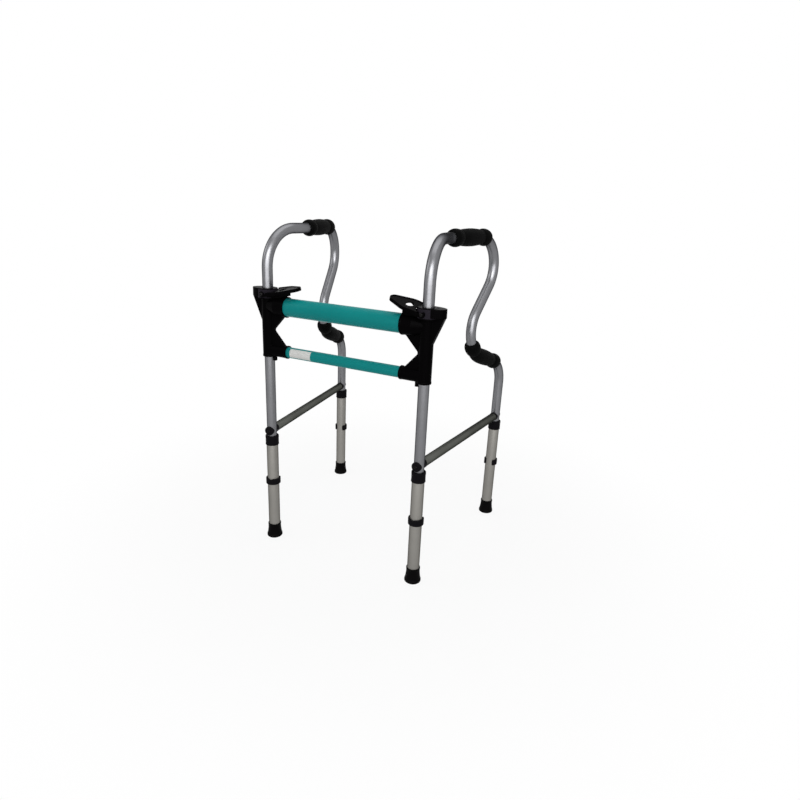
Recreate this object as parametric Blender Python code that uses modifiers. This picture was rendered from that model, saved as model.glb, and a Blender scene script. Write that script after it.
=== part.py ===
"""Folding walking frame with two pairs of handles, metres, +Z up.

Two bent side tubes stand in black housings at the ends of two crossbars, and each side folds inward
about its front leg. The floor is z = 0, the front of the frame faces -Y and the right side is +X.
"""

import math

import bmesh
import bpy
from mathutils import Matrix, Vector

# Overall layout, between tube centrelines
FRONT_SPACING = 0.419
REAR_SPACING = 0.520
DEPTH = 0.427

# Side tube: its bends, seen along the side
TUBE_OD = 0.0254
TUBE_WALL = 0.0016
TUBE_BOTTOM = 0.045
HANDLE_HEIGHT = 0.812
FRONT_BEND_R = 0.090
BEND_R = 0.074
TOP_REACH = 0.3465
WAIST_REACH = 0.258
BACK_LEAN = math.radians(40.9)
LOW_SLOPE = math.radians(19.8)

# Side tube: how far its corners stand out (+) or in (-) from the plane of its legs
CRANK_REACH = 0.133
CRANK_IN = 0.0318
CRANK_R = 0.150
TOP_CORNER_IN = 0.0045
WAIST_CORNER_IN = 0.0232

# Foam grips, measured along the tube
GRIP_LENGTH = 0.158
GRIP_R = 0.0204
GRIP_NECK_R = 0.0176
GRIP_END_R = 0.0164
TOP_GRIP_START = 0.055
LOW_GRIP_OVERRUN = 0.0185

# Leg extensions
EXTENSION_WALL = 0.0020
EXTENSION_TOP = 0.2942
HOLE_PITCH = 0.0254
HOLE_COUNT = 5
CLIP_Z = 0.1675
CLIP_HEIGHT = 0.016
CLIP_WALL = 0.0037
CLIP_WRAP = math.radians(285)
PEG_R = 0.0035
COLLAR_LENGTH = 0.025
COLLAR_WALL = 0.0019
COLLAR_LIP = 0.0020
FOOT_HEIGHT = 0.0387
FOOT_BASE_R = 0.0205
FOOT_FLOOR = 0.008
FOOT_WALL = 0.0019

# Brace between the legs of a side
BRACE_Z = 0.3115
BRACE_OD = 0.0222
BRACE_WALL = 0.0013
BRACE_PLUG = 0.020
BOLT_R = 0.0030
SADDLE_R = 0.0118
SADDLE_SEAT = 0.0045
CAP_REACH = 0.0036
NUT_R = 0.0085
NUT_LENGTH = 0.0085

# Crossbars
TOP_BAR_Z = 0.635
TOP_BAR_OD = 0.0436
LOW_BAR_Z = 0.5252
LOW_BAR_OD = 0.0261
BAR_WALL = 0.0018

# Housing, measured from the axis of its leg
SOCKET_WALL = 0.0020
SOCKET_REACH = 0.0580
SOCKET_DEPTH = 0.0288
SLEEVE_R = 0.0157
SLEEVE_BOTTOM = 0.5085
HUB_R = 0.0232
HUB_BOTTOM = 0.652
HUB_TOP = 0.6765
FLANGE_REACH = 0.0418
FLANGE_HALF_WIDTH = 0.0250
FLANGE_THICKNESS = 0.0195
GUSSET_DROP = 0.059
RIB_THICKNESS = 0.014
WEB_THICKNESS = 0.010
NOTCH_X = -0.0180
NOTCH_SHARE = 0.4983
NOTCH_R = 0.006
WEB_RIM_GAP = 0.0085
BLOCK_HALF_WIDTH = 0.0145
BLOCK_REACH = 0.0520
BLOCK_END_HEIGHT = 0.0075
BLOCK_SLANT = 0.012
BLOCK_TOP = 0.667
LUG_DROP = 0.0095
LUG_SIZE = 0.0075

# Release paddle, measured from the axis of its leg
PIVOT_X = -0.0035
PIVOT_Z = 0.6635
PADDLE_TIP = -0.0925
PADDLE_TIP_R = 0.0165
PADDLE_WIDE_X = -0.0445
PADDLE_HALF_WIDTH = 0.0318
PADDLE_PLATE = 0.0030
PADDLE_DISH = 0.0015
PADDLE_RIM = 0.0080
PADDLE_RIM_WALL = 0.0024
PADDLE_HEEL_X = -0.0265
PADDLE_HEEL_TOP = 0.6740
PADDLE_SLOPE = math.radians(9.8)
PADDLE_TILT = math.radians(7.5)
PADDLE_RAISED = {"right": math.radians(5.0), "left": 0.0}
HUB_CLEARANCE = 0.0040
ARM_THICKNESS = 0.0055
ARM_END_R = 0.0072
ARM_START = -0.058
ARM_KNEE_X = -0.0445
ARM_KNEE_Z = 0.666
FINGER_HOLE_X = -0.0395
FINGER_HOLE_LENGTH = 0.0170
FINGER_HOLE_WIDTH = 0.0330
SCREW_R = 0.0020
SCREW_HEAD_R = 0.0040
SCREW_HEAD = 0.0022

# Lock inside the housing
PIN_FLOOR = 0.0012
PIN_R = 0.0025
PIN_TRAVEL = 0.006
PIN_LENGTH = 0.0295
PIN_COLLAR_R = 0.0042
PIN_COLLAR = 0.0020
SPRING_ROOM = 0.012
SPRING_WIRE_R = 0.0005
SPRING_TURNS = 3

# Rivets that hold the crossbars
RIVET_R = 0.0018
RIVET_HEAD_R = 0.0040
RIVET_HEAD = 0.0016
RIVET_X = -0.0460

# Clearances and facets
GAP = 0.0003
SOFT_GAP = 0.0005
ARC_STEP = math.radians(16.5)
COARSE_STEP = math.radians(24.75)
TUBE_SIDES = 14
ROUND = 16
BAR_SIDES = 20
SMALL_ROUND = 8
HOLE_SIDES = 8
GRIP_SIDES = 12
REACH = 0.010

# Derived sizes
TUBE_R = TUBE_OD / 2
BORE_R = TUBE_R + GAP
SPLAY = math.atan2((REAR_SPACING - FRONT_SPACING) / 2, DEPTH)
LEG_SPACING = math.hypot(DEPTH, (REAR_SPACING - FRONT_SPACING) / 2)
EXTENSION_R = BORE_R + EXTENSION_WALL
COLLAR_TOP = EXTENSION_TOP + GAP + COLLAR_LIP
SEAT_R = EXTENSION_R + GAP
BRACE_END = TUBE_R + SADDLE_SEAT + 2 * GAP
ARM_INNER = HUB_R + 2 * GAP
ARM_OUTER = ARM_INNER + ARM_THICKNESS
SCREW_OUT = ARM_OUTER + GAP + SCREW_HEAD
PIN_TIP_X = -TUBE_R - GAP
PIN_Z = TOP_BAR_Z + TOP_BAR_OD / 2 + PIN_FLOOR + GAP + PIN_COLLAR_R
Y_MIN = -max(SCREW_OUT, FOOT_BASE_R)
Y_MAX = DEPTH + max(FOOT_BASE_R, math.cos(SPLAY) * (BORE_R + NUT_LENGTH))
FRONT_Y = -(Y_MIN + Y_MAX) / 2
BOLT_HOLE_R = BOLT_R + GAP
NOTCH_Z = (1 - NOTCH_SHARE) * (LOW_BAR_Z + LOW_BAR_OD / 2) + NOTCH_SHARE * (TOP_BAR_Z - TOP_BAR_OD / 2)

ALONG_X = Matrix.Rotation(math.pi / 2, 4, "Y")
ALONG_Y = Matrix.Rotation(-math.pi / 2, 4, "X")
FLAT_TO_XZ = Matrix.Rotation(math.pi / 2, 4, "X")


def clear_scene():
    for obj in list(bpy.data.objects):
        bpy.data.objects.remove(obj, do_unlink=True)


def make_collection(name):
    collection = bpy.data.collections.new(name)
    bpy.context.scene.collection.children.link(collection)
    return collection


def make_material(name, colour, roughness, metallic):
    material = bpy.data.materials.new(name)
    material.use_nodes = True
    shader = material.node_tree.nodes["Principled BSDF"]
    shader.inputs["Base Color"].default_value = (*colour, 1)
    shader.inputs["Roughness"].default_value = roughness
    shader.inputs["Metallic"].default_value = metallic
    return material


clear_scene()
PARTS = make_collection("folding_walking_frame")
MATERIALS = {
    "aluminium": make_material("aluminium", (0.60, 0.61, 0.63), 0.35, 1.0),
    "brace": make_material("brace", (0.42, 0.42, 0.43), 0.40, 1.0),
    "teal": make_material("teal", (0.010, 0.255, 0.250), 0.35, 0.0),
    "black_plastic": make_material("black_plastic", (0.012, 0.012, 0.013), 0.45, 0.0),
    "foam": make_material("foam", (0.010, 0.010, 0.010), 0.85, 0.0),
    "rubber": make_material("rubber", (0.014, 0.013, 0.013), 0.75, 0.0),
    "steel": make_material("steel", (0.55, 0.55, 0.56), 0.30, 1.0),
}


# Meshes

def mesh_of(obj):
    """The evaluated mesh of a working object, welded, in world space, and the object removed."""
    bpy.context.view_layer.update()
    graph = bpy.context.evaluated_depsgraph_get()
    mesh = bpy.data.meshes.new_from_object(obj.evaluated_get(graph))
    mesh.transform(obj.matrix_world)
    bpy.data.objects.remove(obj, do_unlink=True)
    cleaned = bmesh.new()
    cleaned.from_mesh(mesh)
    bmesh.ops.remove_doubles(cleaned, verts=cleaned.verts, dist=0.000001)
    bmesh.ops.recalc_face_normals(cleaned, faces=cleaned.faces)
    cleaned.to_mesh(mesh)
    cleaned.free()
    return mesh


def working_object(data):
    obj = bpy.data.objects.new("working", data)
    bpy.context.scene.collection.objects.link(obj)
    return obj


def joined(mesh, others, operation):
    """The mesh after a Boolean with each of the other meshes in turn."""
    for other in others:
        target = working_object(mesh)
        tool = working_object(other)
        boolean = target.modifiers.new("boolean", "BOOLEAN")
        boolean.operation = operation
        boolean.solver = "EXACT"
        boolean.object = tool
        mesh = mesh_of(target)
        bpy.data.objects.remove(tool, do_unlink=True)
    return mesh


def union(mesh, *others):
    return joined(mesh, others, "UNION")


def cut(mesh, *others):
    return joined(mesh, others, "DIFFERENCE")


def cylinder(radius, low, high, place=Matrix.Identity(4), sides=ROUND):
    """A capped cylinder on the Z axis from low to high, then moved by place."""
    mesh = bpy.data.meshes.new("cylinder")
    shape = bmesh.new()
    middle = Matrix.Translation((0, 0, (low + high) / 2))
    bmesh.ops.create_cone(shape, cap_ends=True, segments=sides, radius1=radius, radius2=radius,
                          depth=high - low, matrix=place @ middle)
    shape.to_mesh(mesh)
    shape.free()
    return mesh


def box(low, high):
    mesh = bpy.data.meshes.new("box")
    shape = bmesh.new()
    size = Vector(high) - Vector(low)
    middle = (Vector(high) + Vector(low)) / 2
    bmesh.ops.create_cube(shape, size=1, matrix=Matrix.Translation(middle) @ Matrix.Diagonal((*size, 1)))
    shape.to_mesh(mesh)
    shape.free()
    return mesh


def turned(profile, place=Matrix.Identity(4), sides=ROUND, hollow=True):
    """A turned piece. The (radius, z) profile runs down its outside and, when hollow, back up its bore."""
    mesh = bpy.data.meshes.new("profile")
    count = len(profile)
    edges = [(i, (i + 1) % count) for i in range(count if hollow else count - 1)]
    mesh.from_pydata([(radius, 0, z) for radius, z in profile], edges, [])
    obj = working_object(mesh)
    screw = obj.modifiers.new("turn", "SCREW")
    screw.steps = sides
    screw.render_steps = sides
    screw.use_merge_vertices = True
    screw.merge_threshold = 0.00001
    obj.matrix_world = place
    return mesh_of(obj)


def outline(points, thickness, place=Matrix.Identity(4), rounding=0.0):
    """A flat plate whose outline lies in XY, as thick as asked about z = 0, with its rims rounded."""
    data = bpy.data.curves.new("outline", "CURVE")
    data.dimensions = "2D"
    data.fill_mode = "BOTH"
    data.extrude = thickness / 2 - rounding
    data.bevel_depth = rounding
    data.bevel_resolution = 0
    data.offset = -rounding
    spline = data.splines.new("POLY")
    spline.points.add(len(points) - 1)
    for point, (x, y) in zip(spline.points, points):
        point.co = (x, y, 0, 1)
    spline.use_cyclic_u = True
    obj = working_object(data)
    obj.matrix_world = place
    return mesh_of(obj)


def swept(points, radii, capped=True, wall=0.0, sides=TUBE_SIDES):
    """A round tube along points, with a radius at each, solid or with a wall."""
    data = bpy.data.curves.new("sweep", "CURVE")
    data.dimensions = "3D"
    data.bevel_depth = 1.0
    data.bevel_resolution = (sides - 4) // 2
    data.use_fill_caps = capped
    spline = data.splines.new("POLY")
    spline.points.add(len(points) - 1)
    for point, place, radius in zip(spline.points, points, radii):
        point.co = (*place, 1)
        point.radius = radius
    obj = working_object(data)
    if wall:
        shell = obj.modifiers.new("wall", "SOLIDIFY")
        shell.thickness = wall
        shell.offset = -1
        shell.use_even_offset = True
    return mesh_of(obj)


def arc_points(centre, radius, first, last, step=ARC_STEP):
    """Points on a circle in a plane, from one angle to another, both ends included."""
    count = max(2, math.ceil(abs(last - first) / step))
    angles = [first + (last - first) * i / count for i in range(count + 1)]
    return [(centre[0] + radius * math.cos(a), centre[1] + radius * math.sin(a)) for a in angles]


# Objects

def make_empty(name, location, turn=0.0, mirrored=False, parent=None):
    empty = bpy.data.objects.new(name, None)
    empty.empty_display_size = 0.05
    PARTS.objects.link(empty)
    empty.location = location
    empty.rotation_euler = (0, 0, turn)
    empty.scale = (-1 if mirrored else 1, 1, 1)
    empty.parent = parent
    return empty


def make_part(name, mesh, material, parent, place=Matrix.Identity(4)):
    """One named piece. Its mesh may be shared with the same piece on another leg or side."""
    if not mesh.materials:
        mesh.materials.append(MATERIALS[material])
        mesh.shade_smooth()
        mesh.set_sharp_from_angle(angle=math.radians(35))
    obj = bpy.data.objects.new(name, mesh)
    PARTS.objects.link(obj)
    obj.parent = parent
    obj.matrix_local = place
    return obj


# Side tube

def tube_corners():
    """Corners of the side tube as (out, back, up), from the front leg's lower end to the rear one's."""
    top_centre = Vector((TOP_REACH - BEND_R, HANDLE_HEIGHT - BEND_R))
    down = Vector((-math.sin(BACK_LEAN), -math.cos(BACK_LEAN)))
    behind = Vector((math.cos(BACK_LEAN), -math.sin(BACK_LEAN)))
    leaving = top_centre + BEND_R * behind
    top_corner = leaving - down * (HANDLE_HEIGHT - leaving.y) / -down.y
    waist_x = WAIST_REACH + BEND_R
    waist_z = leaving.y + (BEND_R - (waist_x - leaving.x) * behind.x) / behind.y
    low = Vector((math.cos(LOW_SLOPE), -math.sin(LOW_SLOPE)))
    entering = Vector((waist_x, waist_z)) - BEND_R * Vector((math.sin(LOW_SLOPE), math.cos(LOW_SLOPE)))
    gap = entering - leaving
    along = (gap.x * low.y - gap.y * low.x) / (down.x * low.y - down.y * low.x)
    waist_corner = leaving + down * along
    low_corner_z = entering.y + (LEG_SPACING - entering.x) * low.y / low.x
    return [
        Vector((0, 0, TUBE_BOTTOM)),
        Vector((0, 0, HANDLE_HEIGHT)),
        Vector((-CRANK_IN, CRANK_REACH, HANDLE_HEIGHT)),
        Vector((-TOP_CORNER_IN, top_corner.x, top_corner.y)),
        Vector((-WAIST_CORNER_IN, waist_corner.x, waist_corner.y)),
        Vector((0, LEG_SPACING, low_corner_z)),
        Vector((0, LEG_SPACING, TUBE_BOTTOM)),
    ]


def bent(corners, radii):
    """Points along straight runs joined by arcs, and where along them each bend starts and ends."""
    points = [corners[0]]
    bends = []
    travelled = 0.0
    for before, corner, after, radius in zip(corners, corners[1:], corners[2:], radii):
        back = (before - corner).normalized()
        ahead = (after - corner).normalized()
        turn = math.pi - back.angle(ahead)
        start = corner + back * radius * math.tan(turn / 2)
        centre = corner + (back + ahead).normalized() * radius / math.cos(turn / 2)
        spoke = (start - centre) / radius
        count = math.ceil(turn / ARC_STEP)
        travelled += (start - points[-1]).length
        first = travelled
        arc = [centre + radius * (math.cos(turn * i / count) * spoke - math.sin(turn * i / count) * back)
               for i in range(count + 1)]
        travelled += sum((b - a).length for a, b in zip(arc, arc[1:]))
        bends.append((first, travelled))
        points += arc
    points.append(corners[-1])
    return points, bends


def stretch(points, start, end, stations):
    """Points of a path between two distances along it, with more at the stations, and their distances."""
    distances = [0.0]
    for a, b in zip(points, points[1:]):
        distances.append(distances[-1] + (b - a).length)
    wanted = sorted({start, end} | {s for s in stations if start < s < end})
    kept = [s for s in distances if start < s < end and min(abs(s - w) for w in wanted) > 0.002]
    result = []
    for s in sorted(wanted + kept):
        i = max(k for k, d in enumerate(distances[:-1]) if d <= s)
        share = (s - distances[i]) / (distances[i + 1] - distances[i])
        result.append((points[i].lerp(points[i + 1], share), s))
    return result


TUBE_PATH, TUBE_BENDS = bent(tube_corners(), (FRONT_BEND_R, CRANK_R, BEND_R, BEND_R, BEND_R))


def leg_hole(z, back=0.0, angle=-math.pi / 2, radius=PEG_R + GAP):
    """A cutter through one wall of a leg, on the side that the angle in plan points to."""
    place = Matrix.Translation((0, back, z)) @ Matrix.Rotation(angle, 4, "Z") @ ALONG_X
    return cylinder(radius, TUBE_R / 2, EXTENSION_R + GAP, place, HOLE_SIDES)


def side_tube_mesh():
    tube = swept(TUBE_PATH, [TUBE_R] * len(TUBE_PATH), capped=False, wall=TUBE_WALL)
    inward = math.pi + SPLAY
    holes = [leg_hole(PIN_Z, angle=inward, radius=PIN_R + GAP)]
    for i in range(HOLE_COUNT):
        z = CLIP_Z - i * HOLE_PITCH
        holes.append(leg_hole(z))
        holes.append(leg_hole(z, LEG_SPACING, math.pi / 2))
    bolt_way = Matrix.Translation((0, 0, BRACE_Z)) @ ALONG_Y
    holes.append(cylinder(BOLT_HOLE_R, -REACH * 2, REACH * 2, bolt_way, HOLE_SIDES))
    holes.append(cylinder(BOLT_HOLE_R, LEG_SPACING - REACH * 2, LEG_SPACING + REACH * 2, bolt_way, HOLE_SIDES))
    return cut(tube, *holes)


def grip_mesh(start):
    """A foam grip round the tube: a bulb at each end and a swelling between two necks."""
    end = start + GRIP_LENGTH
    profile = [(0.0, GRIP_END_R), (0.025, GRIP_R * 0.94), (0.085, GRIP_R), (0.150, GRIP_R * 0.95),
               (0.205, GRIP_NECK_R), (0.270, GRIP_R * 0.93), (0.385, GRIP_R * 0.985), (0.500, GRIP_R)]
    profile += [(1 - share, radius) for share, radius in reversed(profile[:-1])]
    stations = [start + share * GRIP_LENGTH for share, _ in profile]

    def radius_at(distance):
        share = min(max((distance - start) / GRIP_LENGTH, 0.0), 1.0)
        for (a, low), (b, high) in zip(profile, profile[1:]):
            if share <= b:
                return low + (high - low) * (share - a) / (b - a)
        return profile[-1][1]

    body = stretch(TUBE_PATH, start, end, stations)
    bore = stretch(TUBE_PATH, start - REACH, end + REACH, ())
    outside = swept([p for p, _ in body], [radius_at(s) for _, s in body], sides=GRIP_SIDES)
    inside = swept([p for p, _ in bore], [TUBE_R + SOFT_GAP] * len(bore))
    return cut(outside, inside)


# Brace and its fasteners, along the line from the front leg to the rear one

def brace_way(back=0.0):
    return Matrix.Translation((0, back, BRACE_Z)) @ ALONG_Y


def brace_mesh():
    outer = BRACE_OD / 2
    inner = outer - BRACE_WALL
    low, high = BRACE_END, LEG_SPACING - BRACE_END
    profile = [(outer, high), (outer, low), (BOLT_HOLE_R, low), (BOLT_HOLE_R, low + BRACE_PLUG),
               (inner, low + BRACE_PLUG), (inner, high - BRACE_PLUG), (BOLT_HOLE_R, high - BRACE_PLUG),
               (BOLT_HOLE_R, high)]
    return turned(profile, brace_way())


def saddle_mesh(leg_back, toward):
    """A washer between a leg and the brace, hollowed to the leg's curve."""
    low, high = sorted((leg_back + toward * TUBE_R / 2, leg_back + toward * (BRACE_END - GAP)))
    washer = cylinder(SADDLE_R, low, high, brace_way())
    leg = cylinder(BORE_R, BRACE_Z - 2 * SADDLE_R, BRACE_Z + 2 * SADDLE_R, Matrix.Translation((0, leg_back, 0)),
                   BAR_SIDES)
    bolt = cylinder(BOLT_HOLE_R, low - REACH, high + REACH, brace_way(), SMALL_ROUND)
    return cut(washer, leg, bolt)


def cap_mesh():
    """The domed washer on the front of the front leg."""
    face = -(BORE_R + CAP_REACH)
    rim = face + CAP_REACH * 0.45
    profile = [(BOLT_HOLE_R, -TUBE_R / 2), (SADDLE_R, -TUBE_R / 2), (SADDLE_R, rim), (SADDLE_R * 0.7, face),
               (BOLT_HOLE_R, face)]
    leg = cylinder(BORE_R, BRACE_Z - 2 * SADDLE_R, BRACE_Z + 2 * SADDLE_R, sides=BAR_SIDES)
    return cut(turned(profile, brace_way()), leg)


def front_bolt_mesh():
    """The bolt from the front cap into the brace, with a low round head."""
    seat = -(BORE_R + CAP_REACH + GAP)
    head_r = BOLT_R + 0.0012
    profile = [(0, BRACE_END + BRACE_PLUG * 0.8), (BOLT_R, BRACE_END + BRACE_PLUG * 0.8), (BOLT_R, seat),
               (head_r, seat), (head_r * 0.8, seat - BOLT_R * 0.35), (0, seat - BOLT_R * 0.5)]
    return turned(profile, brace_way(), SMALL_ROUND, hollow=False)


def rear_bolt_mesh():
    """The bolt from behind the rear leg into the brace, with a domed nut as its head."""
    seat = BORE_R
    dome = seat + NUT_LENGTH
    tip = -(BRACE_END + BRACE_PLUG * 0.8)
    profile = [(0, dome), (NUT_R * 0.55, dome - NUT_LENGTH * 0.10), (NUT_R * 0.9, dome - NUT_LENGTH * 0.4),
               (NUT_R, dome - NUT_LENGTH * 0.65), (NUT_R, seat), (BOLT_R, seat), (BOLT_R, tip), (0, tip)]
    return turned(profile, brace_way(LEG_SPACING), SMALL_ROUND, hollow=False)


# Leg extension, measured from its leg's axis, with its clip at the front

def extension_mesh():
    low = FOOT_FLOOR + GAP
    profile = [(EXTENSION_R, EXTENSION_TOP), (EXTENSION_R, low), (BORE_R, low), (BORE_R, EXTENSION_TOP)]
    return cut(turned(profile), leg_hole(CLIP_Z, radius=PEG_R + GAP))


def collar_mesh():
    outer = SEAT_R + COLLAR_WALL
    bottom = COLLAR_TOP - COLLAR_LENGTH
    shoulder = COLLAR_TOP - COLLAR_LIP
    round_off = COLLAR_WALL / 2
    profile = [(outer - round_off, COLLAR_TOP), (outer, COLLAR_TOP - round_off), (outer, bottom),
               (SEAT_R, bottom), (SEAT_R, shoulder), (BORE_R, shoulder), (BORE_R, COLLAR_TOP)]
    return turned(profile)


def clip_mesh():
    """A snap clip that wraps part of the way round, with a peg through the wall of the extension."""
    outer = SEAT_R + CLIP_WALL
    first = -math.pi / 2 - CLIP_WRAP / 2
    last = first + CLIP_WRAP
    outside = arc_points((0, 0), outer, first, last, COARSE_STEP)
    inside = arc_points((0, 0), SEAT_R, last, first, COARSE_STEP)
    band = outline(outside + inside, CLIP_HEIGHT, Matrix.Translation((0, 0, CLIP_Z)), 0.0008)
    peg_way = Matrix.Translation((0, 0, CLIP_Z)) @ ALONG_Y
    return union(band, cylinder(PEG_R, -(SEAT_R + CLIP_WALL / 2), -BORE_R, peg_way, SMALL_ROUND))


def foot_mesh():
    top_r = SEAT_R + FOOT_WALL
    bore = [(0, FOOT_FLOOR), (SEAT_R, FOOT_FLOOR), (SEAT_R, FOOT_HEIGHT)]
    outside = [(top_r - FOOT_WALL / 3, FOOT_HEIGHT), (top_r, FOOT_HEIGHT * 0.96),
               (FOOT_BASE_R, FOOT_HEIGHT * 0.15), (FOOT_BASE_R, FOOT_HEIGHT * 0.05),
               (FOOT_BASE_R * 0.95, 0), (0, 0)]
    return turned(bore + outside, hollow=False)


# Crossbars, housing and rivets

def bar_mesh(outside, z):
    """A crossbar between the sockets of the two housings, with a rivet hole near each end."""
    end = FRONT_SPACING / 2 - (SOCKET_REACH - SOCKET_DEPTH) - GAP
    outer = outside / 2
    inner = outer - BAR_WALL
    place = Matrix.Translation((0, 0, z)) @ ALONG_X
    tube = turned([(outer, end), (outer, -end), (inner, -end), (inner, end)], place, BAR_SIDES)
    for side in (-1, 1):
        way = Matrix.Translation((side * (FRONT_SPACING / 2 + RIVET_X), 0, z)) @ ALONG_Y
        tube = cut(tube, cylinder(RIVET_R + GAP, inner - REACH / 2, outer + REACH / 2, way, SMALL_ROUND))
    return tube


def rivet_mesh(outside):
    """A rivet through the rear of a socket and of the bar in it, on the Y axis."""
    seat = outside / 2 + SOCKET_WALL + 2 * GAP
    tip = outside / 2 - BAR_WALL - GAP
    profile = [(0, seat + RIVET_HEAD), (RIVET_HEAD_R * 0.6, seat + RIVET_HEAD * 0.85), (RIVET_HEAD_R, seat),
               (RIVET_R, seat), (RIVET_R, tip), (0, tip)]
    return turned(profile, ALONG_Y, SMALL_ROUND, hollow=False)


def socket_mesh(outside, z):
    """The socket for the end of a crossbar, with a neck that narrows to the sleeve."""
    outer = outside / 2 + GAP + SOCKET_WALL
    mouth = -SOCKET_REACH
    floor = mouth + SOCKET_DEPTH
    neck = -SLEEVE_R / 4
    profile = [(0, neck), (min(outer, SLEEVE_R) - GAP, neck), (outer, floor), (outer, mouth), (0, mouth)]
    return turned(profile, Matrix.Translation((0, 0, z)) @ ALONG_X, BAR_SIDES, hollow=False)


def socket_bore(outside, z):
    place = Matrix.Translation((0, 0, z)) @ ALONG_X
    return cylinder(outside / 2 + GAP, -SOCKET_REACH - REACH, -SOCKET_REACH + SOCKET_DEPTH, place, BAR_SIDES)


def web_mesh():
    """The plate between the two sockets, with a notch whose point is rounded."""
    rim_x = -SOCKET_REACH + WEB_RIM_GAP
    top_z = TOP_BAR_Z - TOP_BAR_OD / 2
    low_z = LOW_BAR_Z + LOW_BAR_OD / 2
    upper = Vector((rim_x - NOTCH_X, top_z - NOTCH_Z))
    lower = Vector((rim_x - NOTCH_X, low_z - NOTCH_Z))
    up, down = math.atan2(upper.y, upper.x), math.atan2(lower.y, lower.x) % (2 * math.pi)
    half = (down - up) / 2
    middle = (up + down) / 2
    centre = (NOTCH_X + NOTCH_R * math.cos(middle), NOTCH_Z + NOTCH_R * math.sin(middle))
    swing = math.pi / 2 - half
    point = arc_points(centre, NOTCH_R, middle + math.pi - swing, middle + math.pi + swing, ARC_STEP)
    below = [(0, LOW_BAR_Z), (rim_x, LOW_BAR_Z), (rim_x, low_z)]
    above = [(rim_x, top_z), (rim_x, TOP_BAR_Z), (0, TOP_BAR_Z)]
    return outline(below + point + above, WEB_THICKNESS, FLAT_TO_XZ, 0.0015)


def housing_mesh():
    """The moulded corner: sleeve and hub for the leg, two sockets, web, gusset, flange and lock block."""
    body = cylinder(SLEEVE_R, SLEEVE_BOTTOM, HUB_BOTTOM + REACH / 2, sides=BAR_SIDES)
    hub = cylinder(HUB_R, HUB_BOTTOM, HUB_TOP, sides=BAR_SIDES)
    flange_start = PIVOT_X + ARM_END_R + 3 * GAP
    reach = FLANGE_REACH - flange_start
    rim = [(flange_start + reach * x, FLANGE_HALF_WIDTH * y)
           for x, y in arc_points((0, 0), 1, -math.pi / 2, math.pi / 2)]
    flange_top = HUB_TOP - 2 * GAP
    flange = outline(rim + [(-HUB_R / 2, HUB_R / 2), (-HUB_R / 2, -HUB_R / 2)], FLANGE_THICKNESS,
                     Matrix.Translation((0, 0, flange_top - FLANGE_THICKNESS / 2)), 0.0015)
    under = flange_top - FLANGE_THICKNESS + REACH / 10
    foot = under - GUSSET_DROP
    gusset = outline([(SLEEVE_R / 2, foot - SLEEVE_R / 2), (SLEEVE_R - 0.0005, foot),
                      (FLANGE_REACH - 0.0015, under), (SLEEVE_R / 2, under)], RIB_THICKNESS, FLAT_TO_XZ, 0.0015)
    seat = TOP_BAR_Z + TOP_BAR_OD / 2
    block = outline([(-BLOCK_REACH, BLOCK_TOP), (-BLOCK_REACH, BLOCK_TOP - BLOCK_END_HEIGHT),
                     (-BLOCK_REACH + BLOCK_SLANT, seat), (-HUB_R / 2, seat), (-HUB_R / 2, BLOCK_TOP)],
                    BLOCK_HALF_WIDTH * 2, FLAT_TO_XZ, 0.0008)
    boss = cylinder(PIN_COLLAR_R + 0.0023, PIN_TIP_X - PIN_LENGTH, -HUB_R / 2,
                    Matrix.Translation((0, 0, PIN_Z)) @ ALONG_X)
    lug = box((-BORE_R - LUG_SIZE, -LUG_SIZE / 2, SLEEVE_BOTTOM - LUG_DROP),
              (-BORE_R, LUG_SIZE / 2, SLEEVE_BOTTOM + LUG_DROP))
    body = union(body, hub, flange, gusset, web_mesh(), socket_mesh(TOP_BAR_OD, TOP_BAR_Z),
                 socket_mesh(LOW_BAR_OD, LOW_BAR_Z), block, boss, lug)
    cutters = [cylinder(BORE_R, SLEEVE_BOTTOM - REACH * 2, HUB_TOP + REACH, sides=BAR_SIDES),
               socket_bore(TOP_BAR_OD, TOP_BAR_Z), socket_bore(LOW_BAR_OD, LOW_BAR_Z)]
    return cut(body, *cutters, *lock_cutters(), *fastener_cutters())


def lock_cutters():
    """The lock pin's guide hole, out into the leg's bore, and the wider pocket for its spring."""
    way = Matrix.Translation((0, 0, PIN_Z)) @ ALONG_X
    inner = PIN_TIP_X - PIN_LENGTH - PIN_TRAVEL - 2 * GAP
    pocket_low, pocket_high = spring_pocket()
    return [cylinder(PIN_R + GAP, inner, -TUBE_R / 2, way, SMALL_ROUND),
            cylinder(PIN_COLLAR_R + GAP, pocket_low, pocket_high, way, SMALL_ROUND)]


def spring_pocket():
    high = -HUB_R + 0.0015
    return high - PIN_TRAVEL - SPRING_ROOM, high


def fastener_cutters():
    """Blind holes for the paddle's screws, and holes for the rivets through the sockets' rear."""
    pivot = Matrix.Translation((PIVOT_X, 0, PIVOT_Z)) @ ALONG_Y
    inner = HUB_R - 0.0067
    cutters = [cylinder(SCREW_R + GAP, inner, HUB_R + REACH / 2, pivot, SMALL_ROUND),
               cylinder(SCREW_R + GAP, -HUB_R - REACH / 2, -inner, pivot, SMALL_ROUND)]
    for outside, z in ((TOP_BAR_OD, TOP_BAR_Z), (LOW_BAR_OD, LOW_BAR_Z)):
        way = Matrix.Translation((RIVET_X, 0, z)) @ ALONG_Y
        cutters.append(cylinder(RIVET_R + GAP, outside / 2 - REACH / 2, outside / 2 + REACH, way, SMALL_ROUND))
    return cutters


# Release paddle, its screws and the lock

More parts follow.
